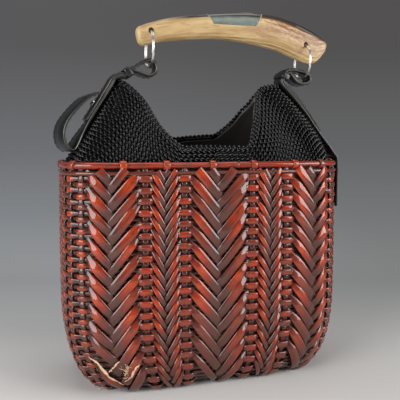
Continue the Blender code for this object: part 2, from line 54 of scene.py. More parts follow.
# Top edge of the yoke: reach from the middle as a share of half the length, then the edge's
# height over the rim as a share of the ears' height, at the front's left and right and at the
# back's left and right
YOKE_EDGE = (
    (0.00, 0.170, 0.170, 0.305, 0.305),
    (0.15, 0.170, 0.168, 0.280, 0.325),
    (0.27, 0.178, 0.200, 0.275, 0.350),
    (0.33, 0.245, 0.335, 0.310, 0.420),
    (0.38, 0.310, 0.465, 0.365, 0.480),
    (0.45, 0.410, 0.610, 0.450, 0.575),
    (0.53, 0.550, 0.760, 0.560, 0.690),
    (0.60, 0.675, 0.870, 0.670, 0.765),
    (0.70, 0.800, 0.950, 0.790, 0.875),
    (0.80, 0.890, 0.980, 0.890, 0.955),
    (0.90, 0.960, 0.995, 0.960, 0.990),
    (1.00, 1.000, 1.000, 1.000, 1.000),
)

# Grip sections from the left end: share of the length, then top and bottom as shares of
# the grip's span above its lowest line, then depth as a share of its full depth
GRIP_SECTIONS = (
    (0.000, 0.520, 0.400, 0.40),
    (0.006, 0.560, 0.290, 0.62),
    (0.022, 0.590, 0.205, 0.80),
    (0.046, 0.630, 0.212, 0.85),
    (0.092, 0.698, 0.264, 0.86),
    (0.150, 0.765, 0.315, 0.89),
    (0.214, 0.824, 0.353, 0.92),
    (0.300, 0.886, 0.392, 0.97),
    (0.392, 0.938, 0.416, 1.00),
    (0.460, 0.972, 0.408, 1.00),
    (0.524, 0.992, 0.387, 1.00),
    (0.616, 1.000, 0.333, 1.00),
    (0.713, 0.969, 0.252, 0.97),
    (0.794, 0.887, 0.129, 0.92),
    (0.855, 0.800, 0.038, 0.88),
    (0.901, 0.720, 0.000, 0.86),
    (0.942, 0.636, 0.044, 0.82),
    (0.972, 0.562, 0.165, 0.74),
    (0.992, 0.498, 0.285, 0.56),
    (1.000, 0.444, 0.370, 0.34),
)

# Loop of each strap round its ring, from the ear's peak: steps from the middle of the
# ring's lowest wire, in shares of the ring's radius, outward then upward. The first list
# leads into the keeper, the second goes round the ring and the third leads out again.
LEFT_LOOP = (
    ((1.71, -0.58),),
    (
        (0.80, -0.27), (0.535, -0.35), (0.153, -0.45), (-0.17, -0.35), (-0.306, -0.065),
        (-0.205, 0.25), (0.10, 0.395), (0.535, 0.235), (0.90, -0.015),
    ),
    ((1.76, -0.43),),
)
RIGHT_LOOP = (
    ((-1.565, -0.245),),
    (
        (-1.147, 0.435), (-0.824, 0.482), (-0.412, 0.435), (-0.03, 0.353), (0.247, 0.176),
        (0.341, -0.06), (0.147, -0.265), (-0.206, -0.324), (-0.559, -0.224), (-0.83, 0.035),
        (-0.99, 0.22),
    ),
    (),
)
# Place of each keeper, as the loop's points are given, and its lean in degrees from outward
# to upward
LEFT_KEEPER = (1.268, -0.324, 144.0)
RIGHT_KEEPER = (-1.347, 0.065, 60.0)

# Where each strap lies on its ear, as shares of the ear's height: on its way up, and on its
# way back from the ring
LEFT_CLIMB, LEFT_BACK = (0.30, 0.45, 0.60, 0.75, 0.90, 1.0), (1.0, 0.90, 0.75, 0.60, 0.47)
RIGHT_CLIMB, RIGHT_BACK = (0.27, 0.42, 0.58, 0.75, 0.88, 1.0), (0.92, 0.80, 0.65, 0.50, 0.36)

# Free tab of the left strap: steps from the hanging tab's place at the rim, in shares of the
# tab's length, outward then upward, from its free end to the turn above the rim
LEFT_TAB = (
    (-0.73, 1.25), (-0.544, 1.156), (-0.335, 0.948), (-0.18, 0.75), (-0.106, 0.5625),
    (-0.11, 0.385), (-0.158, 0.267), (-0.242, 0.198), (-0.323, 0.24),
)

# Herringbone bands of one face, by their places along the rim from the face's middle:
# left edge, spine and right edge in metres, and whether the band is a wide one
BANDS = (
    (-0.1141, -0.09555, -0.0693, True),
    (-0.0616, -0.04905, -0.0351, False),
    (-0.0278, 0.0, 0.0278, True),
    (0.0351, 0.04905, 0.0616, False),
    (0.0693, 0.09555, 0.1141, True),
)
# Places of the upright columns between the bands
COLUMNS = (-0.06545, -0.03145, 0.03145, 0.06545)

# Measures of the splints' arms, in metres: the lowest arm's start, the room left under the
# rim, the least length, the length that goes in beside a column, and the place before the
# arm's edge, the length and the depth of its sinking there
ARM_START, ARM_TOP_GAP, ARM_LEAST, ARM_TUCK = 0.004, 0.007, 0.006, 0.0035
SINK_PLACE, SINK_LENGTH, SINK_DEPTH = 0.0130, 0.0155, 0.0036
# Splints: length under the next arm, and start and length of the rise, all in widths; then
# start and length of the narrowing as shares of the reach, and how much is lost by it
SPLINT_TAIL, RISE_START, RISE_LENGTH = 0.62, 0.10, 0.85
NARROW_START, NARROW_LENGTH, NARROW_LOSS = 0.62, 0.4, 0.3

# Points round a weaver, and how near a stake its points lie closer together
WEAVER_SAMPLES = 276
NEAR_STAKE = 0.0095
# Weavers: room left over the top one in metres, then the flat top and the slope of a bump as
# shares of its run, and the power that flattens a weaver's section
WEAVER_TOP_GAP, BUMP_TOP, BUMP_SLOPE, WEAVER_POWER = 0.010, 0.16, 0.38, 0.7
# Sines of a weaver's wavering: height in metres, turns by place and turn from row to row
WEAVER_WAVERS = ((0.00035, 61, 2.3), (0.0003, 143, 5.1))
# Place of a weaver's colour on the cane's ramp: in the hollows, where the ramp's dark end is
# painted shade, and its rise over a stake of a face and of an end
WEAVER_IN_SHADE, WEAVER_ON_COLUMN, WEAVER_ON_END = 0.03, 0.50, 0.62

# Step that measures the wall's slope, and least height over the floor
WALL_STEP = 0.0004
# Step that measures the slope of the rim's line and of the yoke
SLOPE_STEP = 0.0005
# Step between points along a strap
STRAP_STEP = 0.0012

# Unevenness of the splints, as standard deviations: slope in radians, width and bow as shares,
# place up the wall in metres, and tilt over the width in radians
UNEVEN_SLOPE, UNEVEN_WIDTH, UNEVEN_BOW, UNEVEN_PLACE, UNEVEN_TILT = 0.022, 0.07, 0.2, 0.0003, 0.06

# Stakes, in metres: lowest end, room left under the rim, crown, depth inside the wall's plane
# and height of the waves
STAKE_FOOT, STAKE_TOP_GAP, STAKE_CROWN = 0.0006, 0.004, 0.0003
STAKE_DEPTH, STAKE_WAVE = 0.0008, 0.0007

# Ribbons of the base: pitches of both sets in row pitches and half width in pitches, then in
# metres thickness, crown, height over the floor and height of the waves
BASE_ACROSS, BASE_ALONG, BASE_HALF_WIDTH = 1.5, 2.2, 0.44
BASE_THICKNESS, BASE_CROWN, BASE_HEIGHT, BASE_WAVE = 0.0012, 0.0002, 0.0022, 0.0008

# Torn fibres, in metres: distance of their roots out of the wall and its unevenness, lowest
# root, unevenness of tips and bows, width, and roughness of fibres and of strips
FIBRE_OUT, FIBRE_OUT_SPREAD, FIBRE_LOWEST = 0.0012, 0.0004, 0.0015
FIBRE_TIP, FIBRE_BOW, FIBRE_WIDTH = 0.0013, 0.0007, 0.0010
FIBRE_ROUGHNESS, STRIP_ROUGHNESS = 0.00006, 0.0002

# Lining, in metres: height and length of the step over its narrower foot, and height where it
# starts to draw in towards the yoke
LINING_STEP, LINING_STEP_LENGTH, LINING_DRAW = 0.05, 0.03, 0.072

# Places of the bindings that show in front, along the rim from the front's middle
FRONT_BINDINGS = (-0.0840, -0.0473, -0.0060, 0.0325, 0.0740, 0.1040)

# Rim: lap of the band's ends and length of its taper in metres
BAND_LAP, BAND_TAPER = 0.010, 0.012
# Sines that swell the band and the row under it: height as a share, turns by place and start
BAND_SWELLS = ((0.05, 37, 0), (0.03, 91, 1))
ROW_SWELLS = ((0.10, 53, 0), (0.06, 119, 2))

# Cords: place of the first row in pitches, and start and length of the fan as shares of half
# the length
CORD_FIRST, FAN_START, FAN_LENGTH = 0.85, 0.40, 0.55
# Steps along a cord and along the plait, depth of the plait's middle in metres, and the
# plait's thickness as a share of its width
CORD_STEP, PLAIT_STEP, PLAIT_DEPTH, PLAIT_FLATNESS = 0.0010, 0.0013, 0.0018, 0.6
# Turn and tone from one row of cord to the next, and least number of points in a piece of it
CORD_TURN, CORD_TONE, CORD_LEAST = 2.1, 0.37, 8
# Backing: its drop under the edge, and its faces' depths inside the yoke's outside, in metres
BACKING_DROP, BACKING_OUTER, BACKING_INNER = 0.0015, 0.0030, 0.0040

# Share of the crowding of the grip's sections towards its ends
GRIP_CROWDING = 0.35
# Room between stone and antler, in metres
STONE_ROOM = 0.00015

# Shades of the backdrop from the floor in front to the top of the wall: painted shade, darker
# towards the top
BACKDROP = (
    (0.00, (0.660, 0.630, 0.610)),
    (0.11, (0.560, 0.538, 0.520)),
    (0.25, (0.480, 0.468, 0.458)),
    (0.42, (0.330, 0.335, 0.340)),
    (0.60, (0.200, 0.208, 0.218)),
    (0.75, (0.135, 0.138, 0.145)),
    (1.00, (0.085, 0.082, 0.084)),
)

# Torn cane at the lower left corner of the front: each strip's width, then its path as
# places along the rim, lengths up the wall and distances out of it
TORN_EDGES = (
    (0.0026, (
        (-0.1185, 0.0462, 0.0022), (-0.1111, 0.0418, 0.0032), (-0.1079, 0.0338, 0.0034),
        (-0.1036, 0.0272, 0.0032), (-0.0950, 0.0196, 0.0026),
    )),
    (0.0019, ((-0.1045, 0.0318, 0.0012), (-0.0985, 0.0366, 0.0024), (-0.0918, 0.0428, 0.0030))),
    (0.0016, (
        (-0.0750, 0.0386, 0.0026), (-0.0802, 0.0348, 0.0032), (-0.0857, 0.0277, 0.0034),
        (-0.0930, 0.0236, 0.0028),
    )),
)
# Tufts of torn fibre: middle of the roots along the rim and up the wall, spread of the roots,
# then the steps from root to tip along, up and out, and the number of fibres
TORN_TUFTS = (
    ((-0.0862, 0.0318), (0.0022, 0.0024), (-0.0026, 0.0030, 0.0026), 34),
    ((-0.1390, 0.0050), (0.0110, 0.0015), (-0.0030, -0.0020, 0.0075), 18),
    ((-0.1260, 0.0060), (0.0030, 0.0015), (0.0000, -0.0030, 0.0065), 10),
)


def size(name, description, default):
    """A length property, in metres."""
    return bpy.props.FloatProperty(
        name=name, description=description, default=default, unit="LENGTH", precision=5
    )


def share(name, description, default):
    """A plain number property, such as a share or a power."""
    return bpy.props.FloatProperty(
        name=name, description=description, default=default, precision=4
    )


def turn(name, description, degrees):
    """An angle property, given in degrees and kept in radians."""
    return bpy.props.FloatProperty(
        name=name, description=description, default=radians(degrees), subtype="ANGLE"
    )


def count(name, description, default):
    """A whole number property."""
    return bpy.props.IntProperty(name=name, description=description, default=default, min=1)


def colour(name, description, default):
    """A linear colour property."""
    return bpy.props.FloatVectorProperty(
        name=name, description=description, default=default, size=3, min=0.0, max=1.0,
        subtype="COLOR"
    )


class HandbagBody(bpy.types.PropertyGroup):
    """Sizes of the basket's form, as the part has them."""

    length: size("Length", "Length of the basket at its rim", 0.262)
    depth: size("Depth", "Depth of the basket at its rim", 0.118)
    height: size("Height", "Height of the basket's rim", 0.204)
    corner_power: share("Corner power", "Power of the plan's superellipse", 4.1)
    belly: share("Belly", "Widening at half height, as a share", 0.010)
    end_reach: size("End reach", "How far each end draws in at the base", 0.030)
    end_height: size("End height", "Height where an end starts to draw in", 0.072)
    side_reach: size("Side reach", "How far front and back draw in at the base", 0.018)
    side_height: size("Side height", "Height where front and back start to draw in", 0.026)


class HandbagWeave(bpy.types.PropertyGroup):
    """Sizes of the cane weave."""

    row_pitch: size("Row pitch", "Distance from one weaver to the next", 0.0049)
    weaver_width: size("Weaver width", "Width of a weaver behind a stake", 0.0040)
    column_width: size("Column width", "Width of a weaver over a stake of a face", 0.0060)
    end_width: size("End width", "Width of a weaver over a stake of an end", 0.0048)
    weaver_thickness: size("Weaver thickness", "Thickness of a weaver", 0.0016)
    column_lift: size("Column lift", "How far a weaver stands out over a stake of a face", 0.0023)
    end_lift: size("End lift", "How far a weaver stands out over a stake of an end", 0.0004)
    sink: size("Sink", "How far a weaver lies inside the wall's plane elsewhere", 0.0019)
    column_bump: size("Column bump", "Length of a weaver's run over a stake of a face", 0.0185)
    end_bump: size("End bump", "Length of a weaver's run over a stake of an end", 0.0130)
    stake_width: size("Stake width", "Width of an upright stake", 0.0050)
    stake_thickness: size("Stake thickness", "Thickness of an upright stake", 0.0012)
    end_stakes: count("End stakes", "Stakes in each end of the bag", 9)
    splint_thickness: size("Splint thickness", "Thickness of a slanting splint", 0.0009)
    splint_crown: size("Splint crown", "Rise of a splint's middle over its edges", 0.0004)
    splint_fill: share("Splint fill", "Share of the pitch that a splint covers", 0.87)
    splint_over: size("Splint over", "Height over the wall of a splint that lies on top", 0.0016)
    splint_under: size("Splint under", "Height where it lies under the next one", 0.0001)
    splint_bow: size("Splint bow", "Rise of an arm between its ends", 0.0010)
    wide_pitch: size("Wide pitch", "Distance between chevrons of a wide band", 0.0142)
    narrow_pitch: size("Narrow pitch", "Distance between chevrons of a narrow band", 0.0098)
    wide_angle: turn("Wide angle", "Slope of a wide band's arms", 51.0)
    narrow_angle: turn("Narrow angle", "Slope of a narrow band's arms", 60.0)


class HandbagRim(bpy.types.PropertyGroup):
    """Sizes of the cane rim."""

    band_height: size("Band height", "Height of the half-round cane", 0.0060)
    band_thickness: size("Band thickness", "Reach of the half-round cane", 0.0024)
    raise_by: size("Raise", "How far the band stands over the rim's solid", 0.0008)
    set_in: size("Set-in", "How far the half-round cane starts inside the wall's plane", 0.0012)
    core_height: size("Core height", "Height of the cane row under the band", 0.0036)
    core_thickness: size("Core thickness", "Reach of that row", 0.0024)
    wrap_width: size("Binding width", "Width of a binding", 0.0058)
    wrap_thickness: size("Binding thickness", "Thickness of a binding", 0.0008)
    wraps: count("Bindings", "Bindings round the rim", 16)
    splice_place: size("Splice place", "Where the band's ends lap, from the front's middle", 0.0085)


class HandbagYoke(bpy.types.PropertyGroup):
    """Sizes of the corded yoke."""

    inset: size("Inset", "Distance from the basket's outside to the yoke's outside", 0.0039)
    thickness: size("Thickness", "Thickness of the solid yoke", 0.0040)
    tuck: size("Tuck", "How far the cords go down inside the rim", 0.006)
    ear_height: size("Ear height", "Height of the ears over the rim", 0.073)
    depth_draw: share("Depth draw", "Share of the depth that an ear loses at its peak", 0.82)
    depth_power: share("Depth power", "Power of that draw", 1.25)
    left_lean: share("Left lean", "Share of half the length that the left ear leans in", 0.365)
    left_power: share("Left power", "Power of that lean", 1.0)
    right_lean: share("Right lean", "Share of half the length that the right ear leans in", 0.345)
    right_power: share("Right power", "Power of that lean", 1.6)
    cord_pitch: size("Cord pitch", "Distance from one cord to the next", 0.0040)
    strand: size("Strand", "Radius of one of a cord's two strands", 0.00108)
    twist: size("Twist", "Length of one full turn of a cord", 0.0100)
    fan: share("Fan", "How much the rows turn level towards the ends", 0.55)
    plait_twist: size("Plait twist", "Length of one repeat of the plaited edge", 0.0135)
    plait_strand: size("Plait strand", "Radius of a strand of the plaited edge", 0.0013)
    plait_reach: size("Plait reach", "Half the width of the plaited edge", 0.0017)


class HandbagLining(bpy.types.PropertyGroup):
    """Sizes of the lining."""

    wall: size("Wall", "Thickness of the basket's solid wall", 0.0035)
    ease: size("Ease", "Room between wall and lining", 0.0012)
    thickness: size("Thickness", "Thickness of the cloth", 0.0012)
    drop: size("Drop", "How far the lining ends under the yoke's edge", 0.004)
    slope: share("Slope", "How much further in it stands where the yoke leans", 1.35)
    wrinkle: size("Wrinkle", "Height of the cloth's soft wrinkles", 0.0007)


class HandbagStraps(bpy.types.PropertyGroup):
    """Sizes of the leather straps and keepers."""

    thickness: size("Thickness", "Thickness of the leather", 0.0026)
    width: size("Width", "Width of a strap at the rim", 0.042)
    neck: size("Neck", "Width of a strap at its ring", 0.018)
    narrowing: share("Narrowing", "Power of the strap's narrowing", 1.3)
    tab_width: size("Tab width", "Width of a strap's free tab", 0.038)
    tab_length: size("Tab length", "Length of a strap's free tab", 0.048)
    tab_spring: size("Tab spring", "How far the right strap's free tab stands off", 0.0055)
    tab_turn: turn("Tab turn", "How far the left strap's free tab is turned outward", 10.0)
    turn_lift: share("Turn lift", "Rise over the rim where the strap turns, in thicknesses", 1.7)
    keeper_length: size("Keeper length", "Length of a keeper along the strap", 0.0062)
    keeper_thickness: size("Keeper thickness", "Thickness of a keeper", 0.0016)
    keeper_lead: size("Keeper lead", "Straight run of the strap on each side of a keeper", 0.0012)
    fit: size("Fit", "Gap between pieces", 0.0003)
    rim_ease: size("Rim ease", "Gap between the rim's cane and the wall", 0.0006)
    stitch: size("Stitch", "Length of a stitch", 0.0026)
    stitch_inset: size("Stitch inset", "Distance of the stitches from the strap's edge", 0.0024)


class HandbagRings(bpy.types.PropertyGroup):
    """Sizes and places of the split rings."""

    radius: size("Radius", "Radius of a ring's middle line", 0.0170)
    wire: size("Wire", "Thickness of both coils together", 0.0028)
    left_reach: size("Left reach", "Distance of the left ring from the middle", 0.0484)
    right_reach: size("Right reach", "Distance of the right ring from the middle", 0.1100)
    left_rise: size("Left rise", "Height of the left ring over the rim", 0.1026)
    right_rise: size("Right rise", "Height of the right ring over the rim", 0.0980)


class HandbagGrip(bpy.types.PropertyGroup):
    """Sizes of the antler grip and its stone."""

    length: size("Length", "Length of the grip", 0.1964)
    span: size("Span", "Height from its lowest to its highest line", 0.0450)
    depth: size("Depth", "Depth of the grip", 0.0164)
    overhang: size("Overhang", "Length of the grip past the left ring", 0.0126)
    foot_drop: size("Foot drop", "Depth of its lowest line under the right ring's middle", 0.0010)
    section_power: share("Section power", "Power of its section's superellipse", 2.5)
    hole: size("Hole", "Diameter of its two holes", 0.0058)
    hole_depth: share("Hole depth", "Depth of the grip at its holes, as a share", 0.86)
    stone_length: size("Stone length", "Length of the stone", 0.0580)
    stone_start: share("Stone start", "Where the stone starts, as a share of the length", 0.335)
    stone_foot: share("Stone foot", "Height of the stone's foot, as a share of the span", 0.70)
    stone_bevel: size("Stone bevel", "Slope of the stone's ends", 0.0075)
    stone_back: size("Stone back", "Place of the stone's back face", -0.0015)
    grain: size("Grain", "Depth of the antler's furrows", 0.00022)


class HandbagColours(bpy.types.PropertyGroup):
    """Colours of the pieces."""

    cane_red: colour("Cane red", "Lit face of the cane", (0.275, 0.028, 0.011))
    cane_orange: colour("Cane orange", "Brightest face of the cane", (0.500, 0.058, 0.012))
    cane_brown: colour("Cane brown", "Worn ends of the cane", (0.105, 0.036, 0.026))
    # The cane's dark colour: painted shade in the weave's hollows and recesses, and the dark of the
    # fine grain
    cane_shade_and_grain: colour("Cane dark", "Stained hollows of the cane", (0.012, 0.006, 0.005))
    fibre: colour("Fibre", "Raw cane where it has torn", (0.76, 0.53, 0.34))
    cord: colour("Cord", "Black cord", (0.0022, 0.0022, 0.0024))
    lining: colour("Lining", "Lining cloth", (0.018, 0.012, 0.010))
    leather: colour("Leather", "Black leather", (0.0040, 0.0045, 0.0045))
    # Pale colour of the leather's rolled edges: worn edge and painted highlight
    leather_edge: colour("Leather edge", "Worn cut edge of the leather", (0.24, 0.21, 0.18))
    steel: colour("Steel", "Plated steel", (0.72, 0.69, 0.66))
    antler: colour("Antler", "Polished antler", (0.375, 0.240, 0.098))
    antler_pale: colour("Antler pale", "Palest antler", (0.52, 0.37, 0.18))
    antler_brown: colour("Antler brown", "Brown grain of the antler", (0.200, 0.075, 0.020))
    # Dark colour along the antler's top crest, for the stone's specks, and for painted shade on the
    # stone's top crest
    grip_dark: colour("Antler bark", "Dark bark along the grip's top", (0.022, 0.015, 0.010))
    stone: colour("Stone", "Grey-green stone", (0.100, 0.122, 0.106))


class HandbagStage(bpy.types.PropertyGroup):
    """Camera, lights and backdrop."""

    azimuth: turn("Azimuth", "Camera's turn from straight in front, towards the left", -17.43)
    elevation: turn("Elevation", "Camera's height over the level, as an angle", 5.52)
    distance: size("Distance", "Camera's distance from its target", 0.54966)
    target_side: size("Target side", "X of the point that the camera looks at", 0.00085)
    target_height: size("Target height", "Z of the point that the camera looks at", 0.16445)
    lens: share("Lens", "Focal length in millimetres on a 36 mm sensor", 50.38)
    key: share("Key", "Power of the large soft light in front", 2.0)
    side: share("Side", "Power of the soft light at each side", 15.0)
    top: share("Top", "Power of the light over the bag", 5.0)
    world: share("World", "Strength of the even light from all round", 0.05)


SETTINGS = {
    "handbag_body": HandbagBody,
    "handbag_weave": HandbagWeave,
    "handbag_rim": HandbagRim,
    "handbag_yoke": HandbagYoke,
    "handbag_lining": HandbagLining,
    "handbag_straps": HandbagStraps,
    "handbag_rings": HandbagRings,
    "handbag_grip": HandbagGrip,
    "handbag_colours": HandbagColours,
    "handbag_stage": HandbagStage,
}


def settings(name):
    """One of the scene's groups of settings, by the last word of its name."""
    return getattr(bpy.context.scene, "handbag_" + name)


# Meshes

def grid_faces(rows, columns, close_rows, close_columns):
    """Corners of a grid's quads: each joins two neighbours of a row to the two above them."""
    row = np.arange(rows if close_rows else rows - 1)[:, None]
    column = np.arange(columns if close_columns else columns - 1)[None, :]
    above = (row + 1) % rows
    right = (column + 1) % columns
    corners = (
        row * columns + column, row * columns + right,
        above * columns + right, above * columns + column,
    )
    return np.stack(corners, axis=-1).reshape(-1, 4)


def mesh_object(
    name, points, close_rows=False, close_columns=True, caps=True, grain=0.0, ends=0.5
):
    """One object from many grids of the same size: points is pieces by rows by columns by 3.

    A grid's rows run along the piece and its columns go round its section, so that the
    faces look outward where along x round points outward. caps close both ends of each
    piece. grain is a vector for each point, with the distance along, the distance across
    and the piece's own tone; ends is a number for each point, from 0 to 1 along the piece.
    """
    pieces, rows, columns = points.shape[:3]
    quads = grid_faces(rows, columns, close_rows, close_columns)
    first = (np.arange(pieces) * rows * columns)[:, None, None]
    corners = [(first + quads[None]).reshape(-1)]
    sizes = [np.full(pieces * len(quads), 4)]
    if caps:
        low = np.arange(columns)[::-1]
        high = (rows - 1) * columns + np.arange(columns)
        corners += [(first[:, :, 0] + cap[None]).reshape(-1) for cap in (low, high)]
        sizes.append(np.full(2 * pieces, columns))
    corners = np.concatenate(corners)
    sizes = np.concatenate(sizes)
    mesh = bpy.data.meshes.new(name)
    mesh.vertices.add(pieces * rows * columns)
    mesh.vertices.foreach_set("co", points.reshape(-1).astype(np.float32))
    mesh.loops.add(len(corners))
    mesh.loops.foreach_set("vertex_index", corners.astype(np.int32))
    mesh.polygons.add(len(sizes))
    mesh.polygons.foreach_set("loop_start", running(sizes)[:-1].astype(np.int32))
    mesh.update(calc_edges=True)
    mesh.shade_smooth()
    for label, kind, key, values, shape in (
        ("grain", "FLOAT_VECTOR", "vector", grain, points.shape),
        ("ends", "FLOAT", "value", ends, points.shape[:3]),
    ):
        if values is not None:
            flat = np.broadcast_to(values, shape).reshape(-1).astype(np.float32)
            mesh.attributes.new(label, kind, "POINT").data.foreach_set(key, flat)
    item = bpy.data.objects.new(name, mesh)
    bpy.context.scene.collection.objects.link(item)
    return item


def finish_piece(item, surface, body, replaced=(), sharp=None):
    """Give a piece its material, let it ride on its body and stand for its CAD nodes."""
    item.data.materials.clear()
    item.data.materials.append(surface)
    if sharp is not None:
        item.data.set_sharp_from_angle(angle=sharp)
    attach(item, body)
    if replaced:
        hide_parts(*replaced)
    return item


def add_piece(name, points, surface, slot, replaced=(), body="bag", sharp=None, **layout):
    """Make a piece's mesh from its points and finish the piece."""
    return finish_piece(mesh_object(name, points, **layout), surface, body, replaced, sharp)


def hermite(t, first, first_slope, last, last_slope):
    """Cubic curve between two values with the given slopes at both, at a share of the way."""
    return (
        first * (1 + 2 * t) * (1 - t) ** 2 + first_slope * t * (1 - t) ** 2
        + last * t * t * (3 - 2 * t) + last_slope * t * t * (t - 1)
    )


def smooth_table(where, table, column):
    """Read a table's column at the given places of column 0, along a smooth curve."""
    rows = np.array(table)
    known, values = rows[:, 0], rows[:, column]
    slopes = np.gradient(values, known)
    left = np.clip(np.searchsorted(known, where) - 1, 0, len(known) - 2)
    step = known[left + 1] - known[left]
    t = (where - known[left]) / step
    return hermite(t, values[left], slopes[left] * step, values[left + 1], slopes[left + 1] * step)


def smooth_step(t):
    """Rise from 0 to 1, level at both ends."""
    t = np.clip(t, 0, 1)
    return t * t * (3 - 2 * t)


def unit(vectors):
    """Vectors of length 1."""
    return vectors / np.maximum(np.linalg.norm(vectors, axis=-1, keepdims=True), 1e-12)


def running(steps):
    """Sum of the steps before each place, from none to all of them."""
    return np.concatenate([[0], np.cumsum(steps)])


def together(*parts):
    """Numbers for unlike shapes, spread to one shape and put together as vectors."""
    return np.stack(np.broadcast_arrays(*parts), axis=-1)


def signed_power(values, power):
    """A power of the values' sizes that keeps their signs."""
    return np.sign(values) * np.abs(values) ** power


def outward(skin, along, rise, step):
    """Direction square to a surface that is given by a place along and a place up."""
    level = skin(along + step, rise) - skin(along - step, rise)
    upward = skin(along, rise + step) - skin(along, rise - step)
    return unit(np.cross(level, upward))


def circles(angle, first, second):
    """A circle of radius 1 at each point of a path, from two directions square to it."""
    return (
        np.cos(angle)[None, :, None] * first[:, None, :]
        + np.sin(angle)[None, :, None] * second[:, None, :]
    )


# The basket's wall

class Wall:
    """The basket's outside as a surface: arc length round the rim, and length up the wall."""

    def __init__(self):
        body = settings("body")
        self.half_length = body.length / 2
        self.half_depth = body.depth / 2
        self.body = body
        angle = np.linspace(0, 2 * pi, 8001)
        self.x = signed_power(np.sin(angle), 2 / body.corner_power)
        self.y = -signed_power(np.cos(angle), 2 / body.corner_power)
        self.arc = running(
            np.hypot(np.diff(self.x) * self.half_length, np.diff(self.y) * self.half_depth)
        )
        self.around = self.arc[-1]
        bend = np.linspace(0, pi / 2, 201)
        self.low_height = body.side_height * (1 - np.cos(bend))
        self.low_run = running(
            np.hypot(np.diff(self.low_height), body.side_reach * np.diff(np.sin(bend)))
        )
        self.rim_run = self.run_at(body.height)

    def run_at(self, height):
        """Length up the wall at a height over the floor."""
        low = np.interp(height, self.low_height, self.low_run)
        straight = self.low_run[-1] + height - self.body.side_height
        return np.where(np.asarray(height) < self.body.side_height, low, straight)

    def height_at(self, run):
        """Height over the floor at a length up the wall: a quarter ellipse, then straight."""
        low = np.interp(run, self.low_run, self.low_height)
        return np.where(run < self.low_run[-1], low, self.body.side_height + run - self.low_run[-1])

    def shares(self, along):
        """Superellipse point at an arc length from the front's middle towards +X, as shares."""
        along = np.mod(along, self.around)
        return np.interp(along, self.arc, self.x), np.interp(along, self.arc, self.y)

    def halves(self, height):
        """Half the length and half the depth at a height: a slight belly, drawn in at the base."""
        body = self.body
        belly = 1 + body.belly * np.sin(pi * np.clip(height / body.height, 0, 1))
        end, side = (
            1 - np.sqrt(1 - np.clip(1 - height / start, 0, 1) ** 2)
            for start in (body.end_height, body.side_height)
        )
        return (
            self.half_length * belly - body.end_reach * end,
            self.half_depth * belly - body.side_reach * side,
        )

    def skin(self, along, run):
        """Point of the outside at an arc length and a length up the wall."""
        x, y = self.shares(along)
        height = self.height_at(run)
        half_length, half_depth = self.halves(height)
        return np.stack([x * half_length, y * half_depth, height], axis=-1)

    def place(self, along, run, out):
        """Point at a distance out of the wall, square to it, and never under the floor."""
        along, run, out = np.broadcast_arrays(along, run, out)
        run = np.clip(run, WALL_STEP, None)
        points = self.skin(along, run) + outward(self.skin, along, run, WALL_STEP) * out[..., None]
        points[..., 2] = np.maximum(points[..., 2], WALL_STEP)
        return points


def splint_section(width_share, thickness, crown):
    """Section of a split cane: shares across from -1 to 1 and heights, once round."""
    across = np.array([-1.0, -0.86, -0.45, 0.0, 0.45, 0.86, 1.0, 0.80, 0.0, -0.80])
    top = thickness / 2 + crown * (1 - across[:7] ** 2)
    height = np.concatenate([[0.0], top[1:6], [0.0], np.full(3, -thickness / 2)])
    return across * width_share, height


def weaver_bumps(along, centres, parity, row, length):
    """How far a weaver is lifted, 0 to 1: once at each stake whose parity suits the row."""
    lift = np.zeros(np.broadcast(along, row).shape)
    for centre, odd in zip(centres, parity):
        distance = np.abs(along - centre)
        over = (row + odd) % 2 == 0
        past = (distance - length * BUMP_TOP) / (length * BUMP_SLOPE)
        lift = lift + over * (1 - smooth_step(past))
    return np.clip(lift, 0, 1)


def stake_places(wall):
    """Arc lengths of all stakes and their parity: the faces' columns and the ends' stakes."""
    weave = settings("weave")
    half = wall.around / 2
    end_start = BANDS[-1][2]
    spread = (half - 2 * end_start) / weave.end_stakes
    faces = [(face + column, 0) for face in (0.0, half) for column in COLUMNS]
    ends = [
        (face + end_start + spread * (number + 0.5), (number + 1) % 2)
        for face in (0.0, half) for number in range(weave.end_stakes)
    ]
    places, parity = np.array(faces + ends).T
    return np.mod(places, wall.around), parity.astype(int)


def weaver_samples(wall, centres):
    """Arc lengths of the weavers' points, four times as close beside the stakes as elsewhere."""
    fine = np.arange(0, wall.around, 0.0004)
    gap = np.abs(fine[:, None] - centres[None, :])
    gap = np.minimum(gap, wall.around - gap).min(axis=1)
    total = np.cumsum(np.where(gap < NEAR_STAKE, 1.0, 0.25))
    return np.interp(np.arange(WEAVER_SAMPLES) / WEAVER_SAMPLES * total[-1], total, fine)


